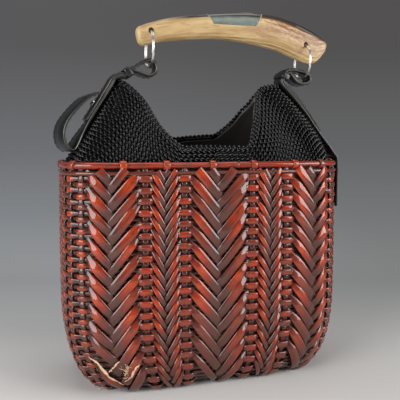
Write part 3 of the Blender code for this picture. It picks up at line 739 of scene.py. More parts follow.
def build_weavers(wall, surface):
    """Level weavers all round: ribbons carried along the wall at one height each.

    A weaver lies inside the wall's plane and bulges out of it where it passes over a stake,
    along a smooth step up and down. Neighbouring weavers pass over opposite stakes, and each
    wavers a little in height by two sines.
    """
    weave = settings("weave")
    rows = int((wall.rim_run - WEAVER_TOP_GAP) / weave.row_pitch)
    run = weave.row_pitch * (np.arange(rows) + 0.5)
    centres, parity = stake_places(wall)
    along = weaver_samples(wall, centres)
    faces = 2 * len(COLUMNS)
    row = np.arange(rows)[:, None]
    column, end = (
        np.max([
            weaver_bumps(along[None, :] + turned, centres[group], parity[group], row, length)
            for turned in (-wall.around, 0.0, wall.around)
        ], axis=0)
        for group, length in (
            (slice(None, faces), weave.column_bump), (slice(faces, None), weave.end_bump)
        )
    )
    waver = sum(
        height * np.sin(along[None, :] * turns + row * shift)
        for height, turns, shift in WEAVER_WAVERS
    )
    angle = np.linspace(0, 2 * pi, 9)[:-1] + pi / 8
    width = weave.weaver_width + (weave.column_width - weave.weaver_width) * column
    width = (width + (weave.end_width - weave.weaver_width) * end) / 2
    across = width[..., None] * signed_power(np.sin(angle), WEAVER_POWER)[::-1]
    thick = signed_power(np.cos(angle), WEAVER_POWER) * weave.weaver_thickness / 2
    out = -weave.sink + (weave.column_lift + weave.sink) * column
    out = out + (weave.end_lift + weave.sink) * end
    heights = run[:, None, None] + waver[..., None] + across
    points = wall.place(along[None, :, None], heights, out[..., None] + thick[::-1])
    half = wall.around / 2
    apart = np.abs((along[:, None] - centres[None, :] + half) % wall.around - half)
    tone = np.random.default_rng(3).random((rows, len(centres)))[:, apart.argmin(axis=1)]
    # Weavers in the hollows take painted shade from the dark end of the cane's ramp
    shown = WEAVER_IN_SHADE + WEAVER_ON_COLUMN * column + WEAVER_ON_END * end
    return add_piece(
        "weavers", points, surface, "cane", ("basket",), close_rows=True, caps=False,
        grain=together(along[None, :, None], across, tone[..., None]), ends=shown[..., None],
    )


def build_stakes(wall, surface):
    """Upright stakes: flat ribbons carried up the wall, which wave against the weavers."""
    weave = settings("weave")
    centres, parity = stake_places(wall)
    run = np.linspace(STAKE_FOOT, wall.rim_run - STAKE_TOP_GAP, 150)
    across, height = splint_section(weave.stake_width / 2, weave.stake_thickness, STAKE_CROWN)
    wave = np.cos(pi * (run[None, :] / weave.row_pitch - 0.5 + parity[:, None]))
    out = -STAKE_DEPTH - STAKE_WAVE * wave
    points = wall.place(
        centres[:, None, None] + across[None, None, ::-1], run[None, :, None],
        out[..., None] + height[::-1],
    )
    tone = np.random.default_rng(5).random(len(centres))[:, None, None]
    grain = together(run[None, :, None], across[::-1], tone)
    # ends near the cane ramp's dark end: painted shade where the stakes show between the weavers
    return add_piece("stakes", points, surface, "cane", ("basket",), grain=grain, ends=0.10)


def band_arms(wall, band, face):
    """The arms of one herringbone band, and their width.

    Each arm has its spine's place, lowest run, side, length, reach to the band's edge and
    slope. Left arms start half a pitch above right arms, so that each arm ends under the
    next arm of the other side. One arm is broken off at the front's lower left.
    """
    weave = settings("weave")
    left, spine, right, wide = band
    pitch = weave.wide_pitch if wide else weave.narrow_pitch
    slope = weave.wide_angle if wide else weave.narrow_angle
    steps = np.arange(int((wall.rim_run + 0.004) / pitch))
    rows = []
    for side, edge, lead in ((-1, left, 0.5), (1, right, 0.0)):
        start = ARM_START + pitch * (steps + lead)
        reach = abs(edge - spine) / cos(slope)
        room = (wall.rim_run - ARM_TOP_GAP - start) / sin(slope)
        torn = face == 0.0 and band is BANDS[0] and side < 0
        for step, low, space in zip(steps, start, room):
            if space > ARM_LEAST and not (torn and step == 1):
                length = min(reach + ARM_TUCK, space)
                rows.append((face + spine, low, side, length, reach, slope))
    return rows, pitch * cos(slope) * weave.splint_fill


def splint_points(wall, rows, width, samples):
    """Points of slanting splints: a domed section carried along a straight line on the wall.

    Under the next arm it lies low; it rises over the arm before it by a smooth step, bows
    a little along its free length and sinks again where it goes in beside the column.
    """
    weave = settings("weave")
    table = np.array(rows)
    spine, low, side, length, reach, slope = [table[:, column][:, None] for column in range(6)]
    tail = SPLINT_TAIL * width
    travel = -tail + (length + tail) * np.linspace(0, 1, samples)[None, :]
    seed = np.random.default_rng(len(rows) + int(1000 * abs(table[0, 0])))
    jitter = seed.normal(0, 1, (len(rows), 1))
    slope = slope + UNEVEN_SLOPE * np.roll(jitter, 5)
    own_width = np.clip(1 + UNEVEN_WIDTH * np.roll(jitter, 7), 0.82, 1.12)
    rise = smooth_step((travel + RISE_START * width) / (RISE_LENGTH * width))
    sink = smooth_step((travel - (reach - SINK_PLACE)) / SINK_LENGTH)
    bow = weave.splint_bow * np.sin(pi * np.clip(travel / reach, 0, 1))
    bow = bow * (1 + UNEVEN_BOW * jitter)
    lift = weave.splint_under + (weave.splint_over - weave.splint_under) * rise
    out = lift + bow - SINK_DEPTH * sink
    across, height = splint_section(width / 2, weave.splint_thickness, weave.splint_crown)
    lost = NARROW_LOSS * smooth_step((travel / reach - NARROW_START) / NARROW_LENGTH)
    narrow = own_width * (1 - lost)
    order = side[..., None] * across * narrow[..., None]
    along = (spine + side * (travel * np.cos(slope)))[..., None] - np.sin(slope)[..., None] * order
    run = (low + travel * np.sin(slope) + UNEVEN_PLACE * jitter)[..., None]
    run = run + np.cos(slope)[..., None] * order * side[..., None]
    tilt = UNEVEN_TILT * np.roll(jitter, 3)[..., None] * order
    points = wall.place(along, run, out[..., None] + height[None, None, :] + tilt)
    grain = together(travel[..., None], order, seed.random((len(rows), 1, 1)))
    # ends runs from 0 at the tail under the next arm to 1 beside a column; the cane's ramp paints
    # shade at both
    ends = np.broadcast_to(((travel + tail) / (reach + tail))[..., None], points.shape[:3])
    return points, grain, ends


def build_splints(wall, surface):
    """The herringbone bands of both faces, as two joined meshes: wide bands and narrow bands."""
    for wide, name, samples in ((True, "splints_wide", 26), (False, "splints_narrow", 18)):
        points, grain, ends = map(np.concatenate, zip(*(
            splint_points(wall, *band_arms(wall, band, face), samples)
            for face in (0.0, wall.around / 2) for band in BANDS if band[3] is wide
        )))
        add_piece(
            name, points, surface, "cane", ("basket",), sharp=0.9, grain=grain, ends=ends
        )


def sliver(wall, path, width, roughness, rng):
    """Points of a torn strip: a flat four-sided section along a ragged path, with thin ends."""
    t = np.linspace(0, 1, 16)
    known = np.array(path)
    spots = np.linspace(0, 1, len(known))
    line = np.stack([np.interp(t, spots, known[:, i]) for i in range(3)], axis=-1)
    line = line + rng.normal(0, roughness, line.shape)
    along, run, out = line.T
    middle = wall.place(along, run, out)
    forward = unit(np.gradient(middle, axis=0))
    normal = unit(middle - wall.place(along, run, out - 0.002) + (0, 0, 1e-6))
    half = width / 2 * (0.15 + 0.85 * np.sin(pi * t) ** 0.6) * (1 + 0.25 * rng.normal(size=16))
    side = np.cross(normal, forward) * half[:, None]
    thin = normal * 0.00016
    points = np.stack([middle + side, middle + thin, middle - side, middle - thin], 1)
    points[..., 2] = np.maximum(points[..., 2], 0.0003)
    return points[:, ::-1]


def build_torn_cane(wall, surface):
    """Torn edges and tufts of raw fibre where splints have broken at the lower left corner."""
    rng = np.random.default_rng(17)
    strips = [sliver(wall, path, width, STRIP_ROUGHNESS, rng) for width, path in TORN_EDGES]
    for (along, run), spread, reach, number in TORN_TUFTS:
        for _ in range(number):
            uneven = rng.normal(0, 1, 3) * (*spread, FIBRE_OUT_SPREAD)
            root = np.array([along, run, FIBRE_OUT]) + uneven
            root[1] = max(root[1], FIBRE_LOWEST)
            tip = root + np.array(reach) * rng.uniform(0.5, 1.4) + rng.normal(0, FIBRE_TIP, 3)
            bow = (root + tip) / 2 + rng.normal(0, FIBRE_BOW, 3)
            strips.append(sliver(wall, (root, bow, tip), FIBRE_WIDTH, FIBRE_ROUGHNESS, rng))
    return add_piece("torn_cane", np.array(strips), surface, "cane")


def build_base(wall, surface):
    """The flat base: two crossing sets of ribbons that pass over and under each other."""
    weave = settings("weave")
    half_length, half_depth = wall.halves(0.0)
    power = wall.body.corner_power
    across_pitch, along_pitch = weave.row_pitch * BASE_ACROSS, weave.row_pitch * BASE_ALONG
    for name, half, other, pitch, cross, over in (
        ("base_long", half_length, half_depth, across_pitch, along_pitch, 1),
        ("base_cross", half_depth, half_length, along_pitch, across_pitch, -1),
    ):
        number = int(2 * other / pitch)
        place = (np.arange(number) - (number - 1) / 2) * pitch
        reach = half * np.clip(1 - np.abs(place / other) ** power, 0.02, 1) ** (1 / power)
        travel = reach[:, None] * np.linspace(-1, 1, 60)[None, :]
        wave = np.cos(pi * (travel / cross + np.arange(number)[:, None]))
        across, height = splint_section(pitch * BASE_HALF_WIDTH, BASE_THICKNESS, BASE_CROWN)
        out = (BASE_HEIGHT + BASE_WAVE * over * wave)[..., None] - height
        points = together(travel[..., None], place[:, None, None] + across, out)
        if over < 0:
            points = points[:, :, ::-1][..., (1, 0, 2)]
        tone = np.random.default_rng(7).random(number)[:, None, None]
        grain = together(travel[..., None], across, tone)
        add_piece(name, points, surface, "cane", ("basket",), grain=grain, ends=0.3)


# Rim

def rim_line(wall, along, out, height):
    """Points of the rim: the superellipse at the rim's height, moved out square to it in plan."""
    along, out, height = np.broadcast_arrays(along, out, height)
    half = np.array([wall.half_length, wall.half_depth])
    before, after, place = (
        np.stack(wall.shares(along + step), axis=-1) for step in (-SLOPE_STEP, SLOPE_STEP, 0.0)
    )
    level = unit((after - before) * half)
    plan = place * half + np.stack([level[..., 1], -level[..., 0]], axis=-1) * out[..., None]
    return np.concatenate([plan, height[..., None]], axis=-1)


def half_round(thickness, height, top, points, ease):
    """Section of a half-round cane against the wall: distances outward, and heights."""
    angle = np.linspace(-pi / 2, pi / 2, points)
    return ease + (thickness - ease) * np.cos(angle), top - height / 2 + height / 2 * np.sin(angle)


def swelling(along, sines):
    """Swelling of a cane along its length, as a share: 1 and a few sines."""
    return sum((rise * np.sin(along * turns + start) for rise, turns, start in sines), 1)


def build_rim(wall, surface):
    """The half-round band, the cane row under it, and the bindings over the band.

    The band is a half round carried round the rim. Its two ends lap at the splice, where it
    thins from one side.
    """
    rim, straps = settings("rim"), settings("straps")
    top = wall.body.height + rim.raise_by - rim.wrap_thickness - straps.fit
    samples = 360
    along = rim.splice_place + np.linspace(0, 1, samples) * (wall.around + BAND_LAP)
    swell = swelling(along, BAND_SWELLS)
    taper = smooth_step((along - rim.splice_place) / BAND_TAPER)
    out, height = half_round(rim.band_thickness, rim.band_height, top, 9, -rim.set_in)
    middle = top - rim.band_height / 2
    reach = -rim.set_in + (out + rim.set_in) * (swell * (0.55 + 0.45 * taper))[:, None]
    tall = middle + (height - middle) * (0.97 * swell * (0.6 + 0.4 * taper))[:, None]
    add_piece(
        "rim_band_cane", rim_line(wall, along[:, None], reach, tall)[None], surface, "cane",
        ("rim_band",), grain=together(along[:, None], height - middle, 0.35)[None], ends=0.47,
    )
    core_top = top - rim.band_height - rim.wrap_thickness - 3 * straps.fit
    along = np.linspace(0, wall.around, samples, endpoint=False)
    out, height = half_round(rim.core_thickness, rim.core_height, core_top, 7, straps.rim_ease)
    swell = swelling(along, ROW_SWELLS)
    add_piece(
        "rim_row_cane", rim_line(wall, along[:, None], out * swell[:, None], height)[None],
        surface, "cane", ("rim_core",), close_rows=True, caps=False,
        grain=together(along[:, None], height - core_top, 0.8)[None], ends=0.35,
    )
    build_bindings(wall, top, surface)


def build_bindings(wall, top, surface):
    """Bindings: a thin domed strip carried over the band's half round.

    The front's bindings stand at their own places and the others are spaced evenly.
    """
    rim, straps = settings("rim"), settings("straps")
    stand_off = straps.fit + rim.wrap_thickness / 2
    out, height = half_round(
        rim.band_thickness + stand_off, rim.band_height + 2 * stand_off, top + stand_off, 11,
        -rim.set_in,
    )
    line = np.stack([
        np.append(out, straps.fit - 0.0035), np.append(height, height[-1])
    ], axis=-1)
    front = np.array(FRONT_BINDINGS)
    rest = rim.wraps - len(front)
    gap = (wall.around - front[-1] + front[0]) / (rest + 1)
    centres = np.concatenate([front, front[-1] + gap * (1 + np.arange(rest))])
    across, lift = splint_section(rim.wrap_width / 2, rim.wrap_thickness, 0.0003)
    forward = unit(np.gradient(line, axis=0))
    reach = line[:, None, 0] + forward[:, None, 1] * lift[None, ::-1]
    tall = line[:, None, 1] - forward[:, None, 0] * lift[None, ::-1]
    points = rim_line(wall, centres[:, None, None] + across[None, None, ::-1], reach, tall)
    tone = np.random.default_rng(11).random(rim.wraps)[:, None, None]
    names = [f"rim_wrap_{number + 1:02d}" for number in range(rim.wraps)]
    return add_piece(
        "rim_bindings", points, surface, "cane", names,
        grain=together(tall[None], across[::-1], tone), ends=0.6,
    )


# Yoke

class Yoke:
    """The yoke's outside as a surface: a place round the loop, and a height over the floor."""

    def __init__(self, wall):
        self.wall = wall
        self.yoke = settings("yoke")
        self.rim = wall.body.height
        self.half_length = wall.half_length - self.yoke.inset
        self.half_depth = wall.half_depth - self.yoke.inset

    def halves(self, height, side):
        """Half the length on one side, and half the depth, at a height."""
        yoke = self.yoke
        rise = np.clip((height - self.rim) / yoke.ear_height, 0, 1)
        left = yoke.left_lean * rise**yoke.left_power
        right = yoke.right_lean * rise**yoke.right_power
        draw = yoke.depth_draw * rise**yoke.depth_power
        half_length = self.half_length * (1 - np.where(side < 0, left, right))
        return half_length, self.half_depth * (1 - draw)

    def edge(self, along):
        """Height of the top edge at an arc length of the loop."""
        x, y = self.wall.shares(along)
        front_left, front_right, back_left, back_right = (
            smooth_table(np.abs(x), YOKE_EDGE, column) for column in (1, 2, 3, 4)
        )
        front = np.where(x < 0, front_left, front_right)
        back = np.where(x < 0, back_left, back_right)
        return self.rim + self.yoke.ear_height * np.where(y < 0, front, back)

    def skin(self, along, height, inset=0.0):
        """Point of the outside, or of a surface inside it."""
        x, y = self.wall.shares(along)
        half_length, half_depth = self.halves(height, x)
        return together(x * (half_length - inset), y * (half_depth - inset), height)

    def normal(self, along, height):
        """Direction outward, square to the surface."""
        return outward(self.skin, along, height, SLOPE_STEP)


def twisted_cord(centre, normal, strand, twist, start):
    """Points of a cord of two twisted strands, and the distance along it.

    Each strand's middle turns round the path at its own radius, and its section is a circle
    in the plane square to the path.
    """
    forward = unit(np.gradient(centre, axis=0))
    side = unit(np.cross(normal, forward))
    out = np.cross(forward, side)
    travel = running(np.linalg.norm(np.diff(centre, axis=0), axis=1))
    ring = strand * circles(-np.linspace(0, 2 * pi, 5, endpoint=False), out, side)
    made = []
    for turned in (0.0, pi):
        phase = (2 * pi * travel / twist + start + turned)[:, None]
        middle = strand * (np.cos(phase) * out + np.sin(phase) * side)
        made.append(centre[:, None, :] + middle[:, None, :] + ring)
    return made, travel


def cord_rows(surface):
    """Lines of the yoke's cords, as arc lengths and heights.

    On an ear a row keeps its distance from the top edge, so the rows bend round the ear and
    run down into the rim. A few rows at the foot run level all the way round.
    """
    yoke, wall = surface.yoke, surface.wall
    columns, window = 720, 90
    along = np.arange(columns) * wall.around / columns
    top = surface.edge(along)
    low = surface.rim - yoke.tuck
    height = top[:, None] + (low - top[:, None]) * np.linspace(0, 1, 60)[None, :]
    skin = surface.skin(along[:, None], height)
    edge = surface.skin(along, top)
    near = np.full(skin.shape[:2], 1.0)
    for shift in range(-window, window + 1, 2):
        apart = skin - np.roll(edge, shift, axis=0)[:, None]
        near = np.minimum(near, np.linalg.norm(apart, axis=-1))
    slope = hypot(1.0, yoke.left_lean * surface.half_length / yoke.ear_height)
    level = slope * (surface.rim + yoke.ear_height - height)
    bend = yoke.fan * smooth_step((np.abs(wall.shares(along)[0]) - FAN_START) / FAN_LENGTH)[:, None]
    near = np.maximum.accumulate(near * (1 - bend) + level * bend, axis=1)
    rows = []
    for number in range(1, int(near[:, -1].max() / yoke.cord_pitch) + 1):
        want = (number - 1 + CORD_FIRST) * yoke.cord_pitch
        line = np.array([np.interp(want, near[i], height[i]) for i in range(columns)])
        rows.extend(split_runs(along, line, near[:, -1] > want, wall.around))
    return rows


def split_runs(along, line, inside, around):
    """The unbroken runs of a closed line, each as arc lengths that only rise, and heights."""
    if inside.all():
        return [(np.append(along, around), np.append(line, line[0]))]
    start = int(np.argmin(inside))
    order = np.roll(np.arange(len(along)), -start)
    along = np.where(order < start, along[order] + around, along[order])
    line, inside = line[order], inside[order]
    change = np.flatnonzero(np.diff(inside.astype(int)))
    runs = []
    for first, last in zip(change[::2] + 1, change[1::2] + 1):
        if last - first > 6:
            runs.append((along[first:last], line[first:last]))
    return runs


def even_path(surface, along, height, out, step):
    """Evenly stepped points on the yoke along a line, with the directions outward."""
    run = running(np.linalg.norm(np.diff(surface.skin(along, height), axis=0), axis=1))
    wanted = np.linspace(0, run[-1], max(8, int(run[-1] / step)))
    along, height = np.interp(wanted, run, along), np.interp(wanted, run, height)
    normal = surface.normal(along, height)
    return surface.skin(along, height) + normal * out, normal


def strand_mesh(name, strands):
    """One object from strands of unlike lengths, each a closed tube with its ends capped.

    Each strand comes with the distance along it and with its tone.
    """
    parts = [
        mesh_object("part", strand[None], grain=together(travel[:, None], 0.0, tone))
        for strand, travel, tone in strands
    ]
    bpy.ops.object.select_all(action="DESELECT")
    for part in parts:
        part.select_set(True)
    bpy.context.view_layer.objects.active = parts[0]
    bpy.ops.object.join()
    parts[0].name = name
    parts[0].data.name = name
    return parts[0]


def build_cords(surface, black):
    """The rows of twisted cord, in one mesh for each end of the bag."""
    yoke, around = surface.yoke, surface.wall.around
    halves = {"left": [], "right": []}
    for number, (along, height) in enumerate(cord_rows(surface)):
        right = np.mod(along, around) < around / 2
        for side, keep in (("right", right), ("left", ~right)):
            index = np.flatnonzero(keep)
            for piece in np.split(index, np.flatnonzero(np.diff(index) > 1) + 1):
                if len(piece) >= CORD_LEAST:
                    halves[side].append((along[piece], height[piece], number))
    for side, runs in halves.items():
        twist = -yoke.twist if side == "left" else yoke.twist
        strands = []
        for along, height, number in runs:
            centre, normal = even_path(surface, along, height, -2 * yoke.strand, CORD_STEP)
            start = number * CORD_TURN
            cords, travel = twisted_cord(centre, normal, yoke.strand, twist, start)
            strands += [(cord, travel, (number * CORD_TONE) % 1.0) for cord in cords]
        item = strand_mesh("yoke_cords_" + side, strands)
        finish_piece(item, black, "bag", ("yoke",))


def build_plait(surface, black):
    """The plaited edge: three strands that cross each other along the yoke's top edge."""
    yoke = surface.yoke
    along = np.linspace(0, surface.wall.around, 900, endpoint=False)
    edge = surface.edge(along)
    centre, normal = even_path(surface, along, edge, -PLAIT_DEPTH, PLAIT_STEP)
    following = np.roll(centre, -1, axis=0)
    rise = unit(np.cross(unit(following - np.roll(centre, 1, axis=0)), normal))
    step = np.linalg.norm(following - centre, axis=1)
    travel = running(step)[:-1]
    repeats = round(step.sum() / yoke.plait_twist)
    ring = circles(np.linspace(0, 2 * pi, 6, endpoint=False), normal, rise)
    strands = []
    for number in range(3):
        phase = (2 * pi * repeats * travel / step.sum() + 2 * pi * number / 3)[:, None]
        depth = PLAIT_FLATNESS * np.sin(2 * phase)
        middle = yoke.plait_reach * (np.sin(phase) * rise + depth * normal)
        strands.append((centre + middle)[:, None, :] + yoke.plait_strand * ring)
    return add_piece(
        "yoke_plait", np.array(strands)[:, :, ::-1], black, "cord", ("yoke",),
        close_rows=True, caps=False, grain=together(travel[:, None], 0.0, 0.0),
    )


def build_backing(surface, black):
    """The cords' backing: a thin dark layer between the cords and the lining."""
    along = np.linspace(0, surface.wall.around, 240, endpoint=False)
    low = surface.rim - surface.yoke.tuck
    rise = surface.edge(along) - BACKING_DROP - low
    height = low + rise[None, :] * np.linspace(0, 1, 24)[:, None]
    outer, inner = (
        surface.skin(along[None, :], height, inset) for inset in (BACKING_OUTER, BACKING_INNER)
    )
    points = np.concatenate([outer, inner[::-1]], axis=0)[None]
    return add_piece(
        "yoke_backing", points, black, "cord", ("yoke",), close_rows=True, caps=False
    )


# Lining

def inward(points):
    """Level direction from the lining's surface towards the bag's long middle plane."""
    return unit(np.stack([-points[..., 0], -points[..., 1] * 4, 0 * points[..., 2]], axis=-1))


def build_lining(surface, cloth):
    """The lining: a bag of cloth, with soft upright wrinkles and a hem under the yoke's edge."""
    lining, wall, yoke = settings("lining"), surface.wall, surface.yoke
    along = np.linspace(0, wall.around, 260, endpoint=False)
    x, y = wall.shares(along)
    inset = lining.slope * (yoke.thickness + 0.0003) + 0.0003
    below = wall.body.height - 0.010 - 2 * lining.ease
    rings = []
    for height in (
        *np.linspace(lining.wall + lining.ease / 2, 0.026, 8), *np.linspace(0.034, 0.18, 14)
    ):
        half_length, half_depth = wall.halves(height)
        low = 1 - smooth_step((height - LINING_STEP) / LINING_STEP_LENGTH)
        ease = lining.wall + lining.ease + 3 * lining.ease * low
        late = np.clip((height - LINING_DRAW) / (below - LINING_DRAW), 0, 1)
        half_length = half_length - ease + (surface.half_length - inset - half_length + ease) * late
        half_depth = half_depth - ease + (surface.half_depth - inset - half_depth + ease) * late
        rings.append(together(x * half_length, y * half_depth, height))
    top = surface.edge(along) - lining.drop
    for level in np.linspace(0, 1, 16):
        height = wall.body.height + (top - wall.body.height) * level
        rings.append(surface.skin(along, height, inset))
    outer = np.array(rings)
    level = outer[..., 2]
    ripple = np.sin(along[None, :] * 190 + 6 * np.sin(level * 30)) * np.sin(along * 47 + 1.3)
    wrinkle = lining.wrinkle * (1 + ripple) * smooth_step(level / 0.03)
    outer = outer + inward(outer) * wrinkle[..., None]
    floor = [outer[0] * np.array([part, part, 1]) for part in (0.02, 0.4, 0.75, 0.93)]
    outer = np.concatenate([np.array(floor), outer], axis=0)
    inner = outer + inward(outer) * lining.thickness
    inner[:4] = outer[:4] + np.array([0, 0, lining.thickness])
    points = np.concatenate([outer, inner[::-1]], axis=0)[None]
    item = add_piece("lining_cloth", points, cloth, "lining_cloth", ("lining",))
    return item


# Straps

def curve_through(points, step):
    """Evenly stepped points on a smooth curve through a list of 2D points."""
    known = np.array(points, dtype=float)
    before = np.vstack([2 * known[0] - known[1], known[:-1]])
    after = np.vstack([known[1:], 2 * known[-1] - known[-2]])
    slopes = (after - before) / 2
    t = np.linspace(0, 1, 12, endpoint=False)[:, None]
    pieces = [
        hermite(t, known[i], slopes[i], known[i + 1], slopes[i + 1])
        for i in range(len(known) - 1)
    ]
    fine = np.vstack(pieces + [known[-1:]])
    length = running(np.hypot(*np.diff(fine, axis=0).T))
    wanted = np.linspace(0, length[-1], max(2, int(round(length[-1] / step)) + 1))
    return np.column_stack([np.interp(wanted, length, fine[:, i]) for i in (0, 1)])


def ring_centre(side):
    """Middle of a ring, in X and Z."""
    rings = settings("rings")
    rim = settings("body").height
    if side < 0:
        return -rings.left_reach, rim + rings.left_rise
    return rings.right_reach, rim + rings.right_rise


def swing_axis():
    """Direction from the left ring to the right one, and the direction upward, square to it."""
    (left, low), (right, high) = ring_centre(-1), ring_centre(1)
    axis = unit(np.array([right - left, 0.0, high - low]))
    return axis, np.array([-axis[2], 0.0, axis[0]])


def ridge_point(surface, rise, side, stand_off):
    """Point (x, z) off the outer ridge of an ear, square to it, at a share of the ear's height."""
    step = 0.001
    height = surface.rim + surface.yoke.ear_height * rise
    reach = float(surface.halves(height, side)[0])
    above = float(surface.halves(height + step, side)[0]) if rise < 1 else reach
    below = float(surface.halves(height - step, side)[0])
    run = (below - above) / (2 * step if rise < 1 else step)
    length = hypot(1.0, run)
    return side * (reach + stand_off / length), height + stand_off * run / length


def loop_place(out, up, side):
    """X and Z of a point given by its steps from the middle of the ring's lowest wire."""
    radius = settings("rings").radius
    x, z = ring_centre(side)
    return x + side * radius * out, z - radius + radius * up


def keeper_frame(side):
    """Middle of a keeper in X and Z, and the direction of the strap through it."""
    out, up, lean = LEFT_KEEPER if side < 0 else RIGHT_KEEPER
    angle = radians(lean)
    return np.array(loop_place(out, up, side)), np.array([side * cos(angle), sin(angle)])


def strap_route(surface, side):
    """The strap's middle line in X and Z, and the number of its steps on the free tab.

    It runs from the free tab up the ear, through the keeper, round the ring and back.
    """
    straps, rim, body = settings("straps"), settings("rim"), settings("body")
    thick, tab_length = straps.thickness, straps.tab_length
    inner = straps.fit + thick / 2
    outer = inner + thick + straps.fit
    half = body.length / 2
    outside = half + rim.band_thickness + rim.wrap_thickness + 2 * straps.fit
    outside = outside + straps.rim_ease + thick / 2
    if side < 0:
        tab = [
            (side * (outside + tab_length * out), body.height + tab_length * up)
            for out, up in LEFT_TAB
        ]
        climb, fold, back = LEFT_CLIMB, LEFT_LOOP, LEFT_BACK
    else:
        rest = body.height + 2 * straps.fit + thick / 2
        tab = [
            (outside, body.height - tab_length),
            (outside, body.height - tab_length / 2),
            (outside, body.height - tab_length / 6),
            (outside - thick / 3, rest),
            (half + thick / 2, rest + straps.turn_lift * thick),
        ]
        climb, fold, back = RIGHT_CLIMB, RIGHT_LOOP, RIGHT_BACK
    before, around, after = [
        [loop_place(out, up, side) for out, up in points] for points in fold
    ]
    middle, along = keeper_frame(side)
    across = side * np.array([-along[1], along[0]]) * (thick + straps.fit) / 2
    reach = along * (straps.keeper_length / 2 + straps.keeper_lead)
    first = [tuple(middle + across - reach), tuple(middle + across + reach)]
    second = [tuple(middle - across + reach), tuple(middle - across - reach)]
    up_points = [ridge_point(surface, rise, side, inner) for rise in climb]
    down_points = [ridge_point(surface, rise, side, outer) for rise in back]
    route = tab + up_points + before + first + around + second + after + down_points
    tab_steps = len(curve_through(tab + up_points[:1], STRAP_STEP))
    return curve_through(route, STRAP_STEP), tab_steps


def strap_half_widths(surface, route, tab_steps):
    """Half widths along a strap: the tab's, then narrowing up the ear, rounded at both ends."""
    straps = settings("straps")
    rise = np.clip((route[:, 1] - surface.rim) / surface.yoke.ear_height, 0, 1)
    half = (straps.width + (straps.neck - straps.width) * rise**straps.narrowing) / 2
    number = np.arange(len(route))
    blend = smooth_step((number - tab_steps + 4) / 8)
    return straps.tab_width / 2 * (1 - blend) + half * blend


def leather_section(half_width, thickness):
    """Section of a strap once round: a flat face with rolled edges and a pressed line near each.

    Returns distances across for each half width, heights over the middle, and how pale
    each corner is: worn edge and painted highlight.
    """
    top_in = np.array([0.0, 0.0004, 0.0011, 0.0019, 0.0024, 0.0029])
    top = np.array([0.0, 0.62, 1.0, 1.0, 0.75, 1.0]) * thickness / 2
    low_in = np.array([0.0011, 0.0004])
    base = np.array([-1.0, -0.62]) * thickness / 2
    right = half_width[:, None] - top_in[None, :]
    low = half_width[:, None] - low_in[None, :]
    across = np.concatenate([right, -right[:, ::-1], -low[:, ::-1], 0 * low[:, :1], low], axis=1)
    height = np.concatenate([top, top[::-1], base[::-1], base[:1], base])
    # Pale corners of the section: worn edge and painted highlight
    worn = np.array([0.0, 1.0, 0.0, 0.0, 0.0, 0.0])
    return across, height, np.concatenate([worn, worn[::-1], (0.7, 0.0, 0.0, 0.0, 0.7)])


def build_strap(surface, side, label, materials):
    """One strap: a leather section carried along its folded route, with its stitches.

    The left strap's free tab is turned outward, by a shift that grows across it, and the
    right strap's tab stands off the wall.
    """
    straps = settings("straps")
    route, tab_steps = strap_route(surface, side)
    half = strap_half_widths(surface, route, tab_steps)
    across, height, worn = leather_section(half, straps.thickness)
    forward = unit(np.gradient(route, axis=0))
    normal = side * np.stack([forward[:, 1], -forward[:, 0]], axis=-1)
    number = np.arange(len(route))
    tab = 1 - smooth_step((number - 0.75 * tab_steps) / (0.5 * tab_steps))
    turned = -np.tan(straps.tab_turn) * tab * (side < 0)
    sprung = straps.tab_spring * tab * (side > 0)
    face = route[:, None, :] + normal[:, None, :] * height[None, :, None]
    y = across * side
    x = face[..., 0] + (turned[:, None] * y + sprung[:, None])
    points = np.stack([x, y, face[..., 1]], axis=-1)
    grain = together((number * STRAP_STEP)[:, None], across, 0.3)
    # Paler along the rolled edges: worn leather and painted highlight
    worn = np.broadcast_to(worn, across.shape)
    add_piece(
        "strap_leather_" + label, points[None, :, ::-1], materials["leather"], "leather",
        ("strap_" + label,), sharp=1.2, grain=grain[None, :, ::-1], ends=worn[None, :, ::-1],
    )
    build_stitches(route, half, normal, (turned, sprung), label, materials["cord"])


def build_stitches(route, half, normal, shift, label, black):
    """Stitches along both edges of the strap: short capsules on both of its faces.

    shift holds the strap's own turn and stand-off at each place of its route.
    """
    straps = settings("straps")
    index = np.arange(3, len(route) - 4, int(straps.stitch / STRAP_STEP) + 2)
    angle = np.linspace(0, 2 * pi, 6, endpoint=False)
    along = np.linspace(-1, 1, 5)
    ring = (0.00032 * np.sqrt(np.clip(1.04 - along**2, 0, 1)))[None, :, None]
    forward = unit(np.gradient(route, axis=0))[index]
    normal = normal[index]
    turned, sprung = (part[index][:, None, None] for part in shift)
    pieces = []
    for edge in (-1, 1):
        for face in (-1, 1):
            place = route[index] + normal * (straps.thickness / 2 + 0.00005) * face
            middle = place[:, None, :]
            middle = middle + forward[:, None, :] * (along * straps.stitch / 2)[None, :, None]
            x, z = (
                middle[..., i, None] + normal[:, None, None, i] * ring * np.cos(angle)
                for i in (0, 1)
            )
            y = edge * (half[index] - straps.stitch_inset)[:, None, None] + ring * np.sin(angle)
            pieces.append(together(x + turned * y + sprung, y, z))
    return add_piece("stitches_" + label, np.concatenate(pieces), black, "cord")


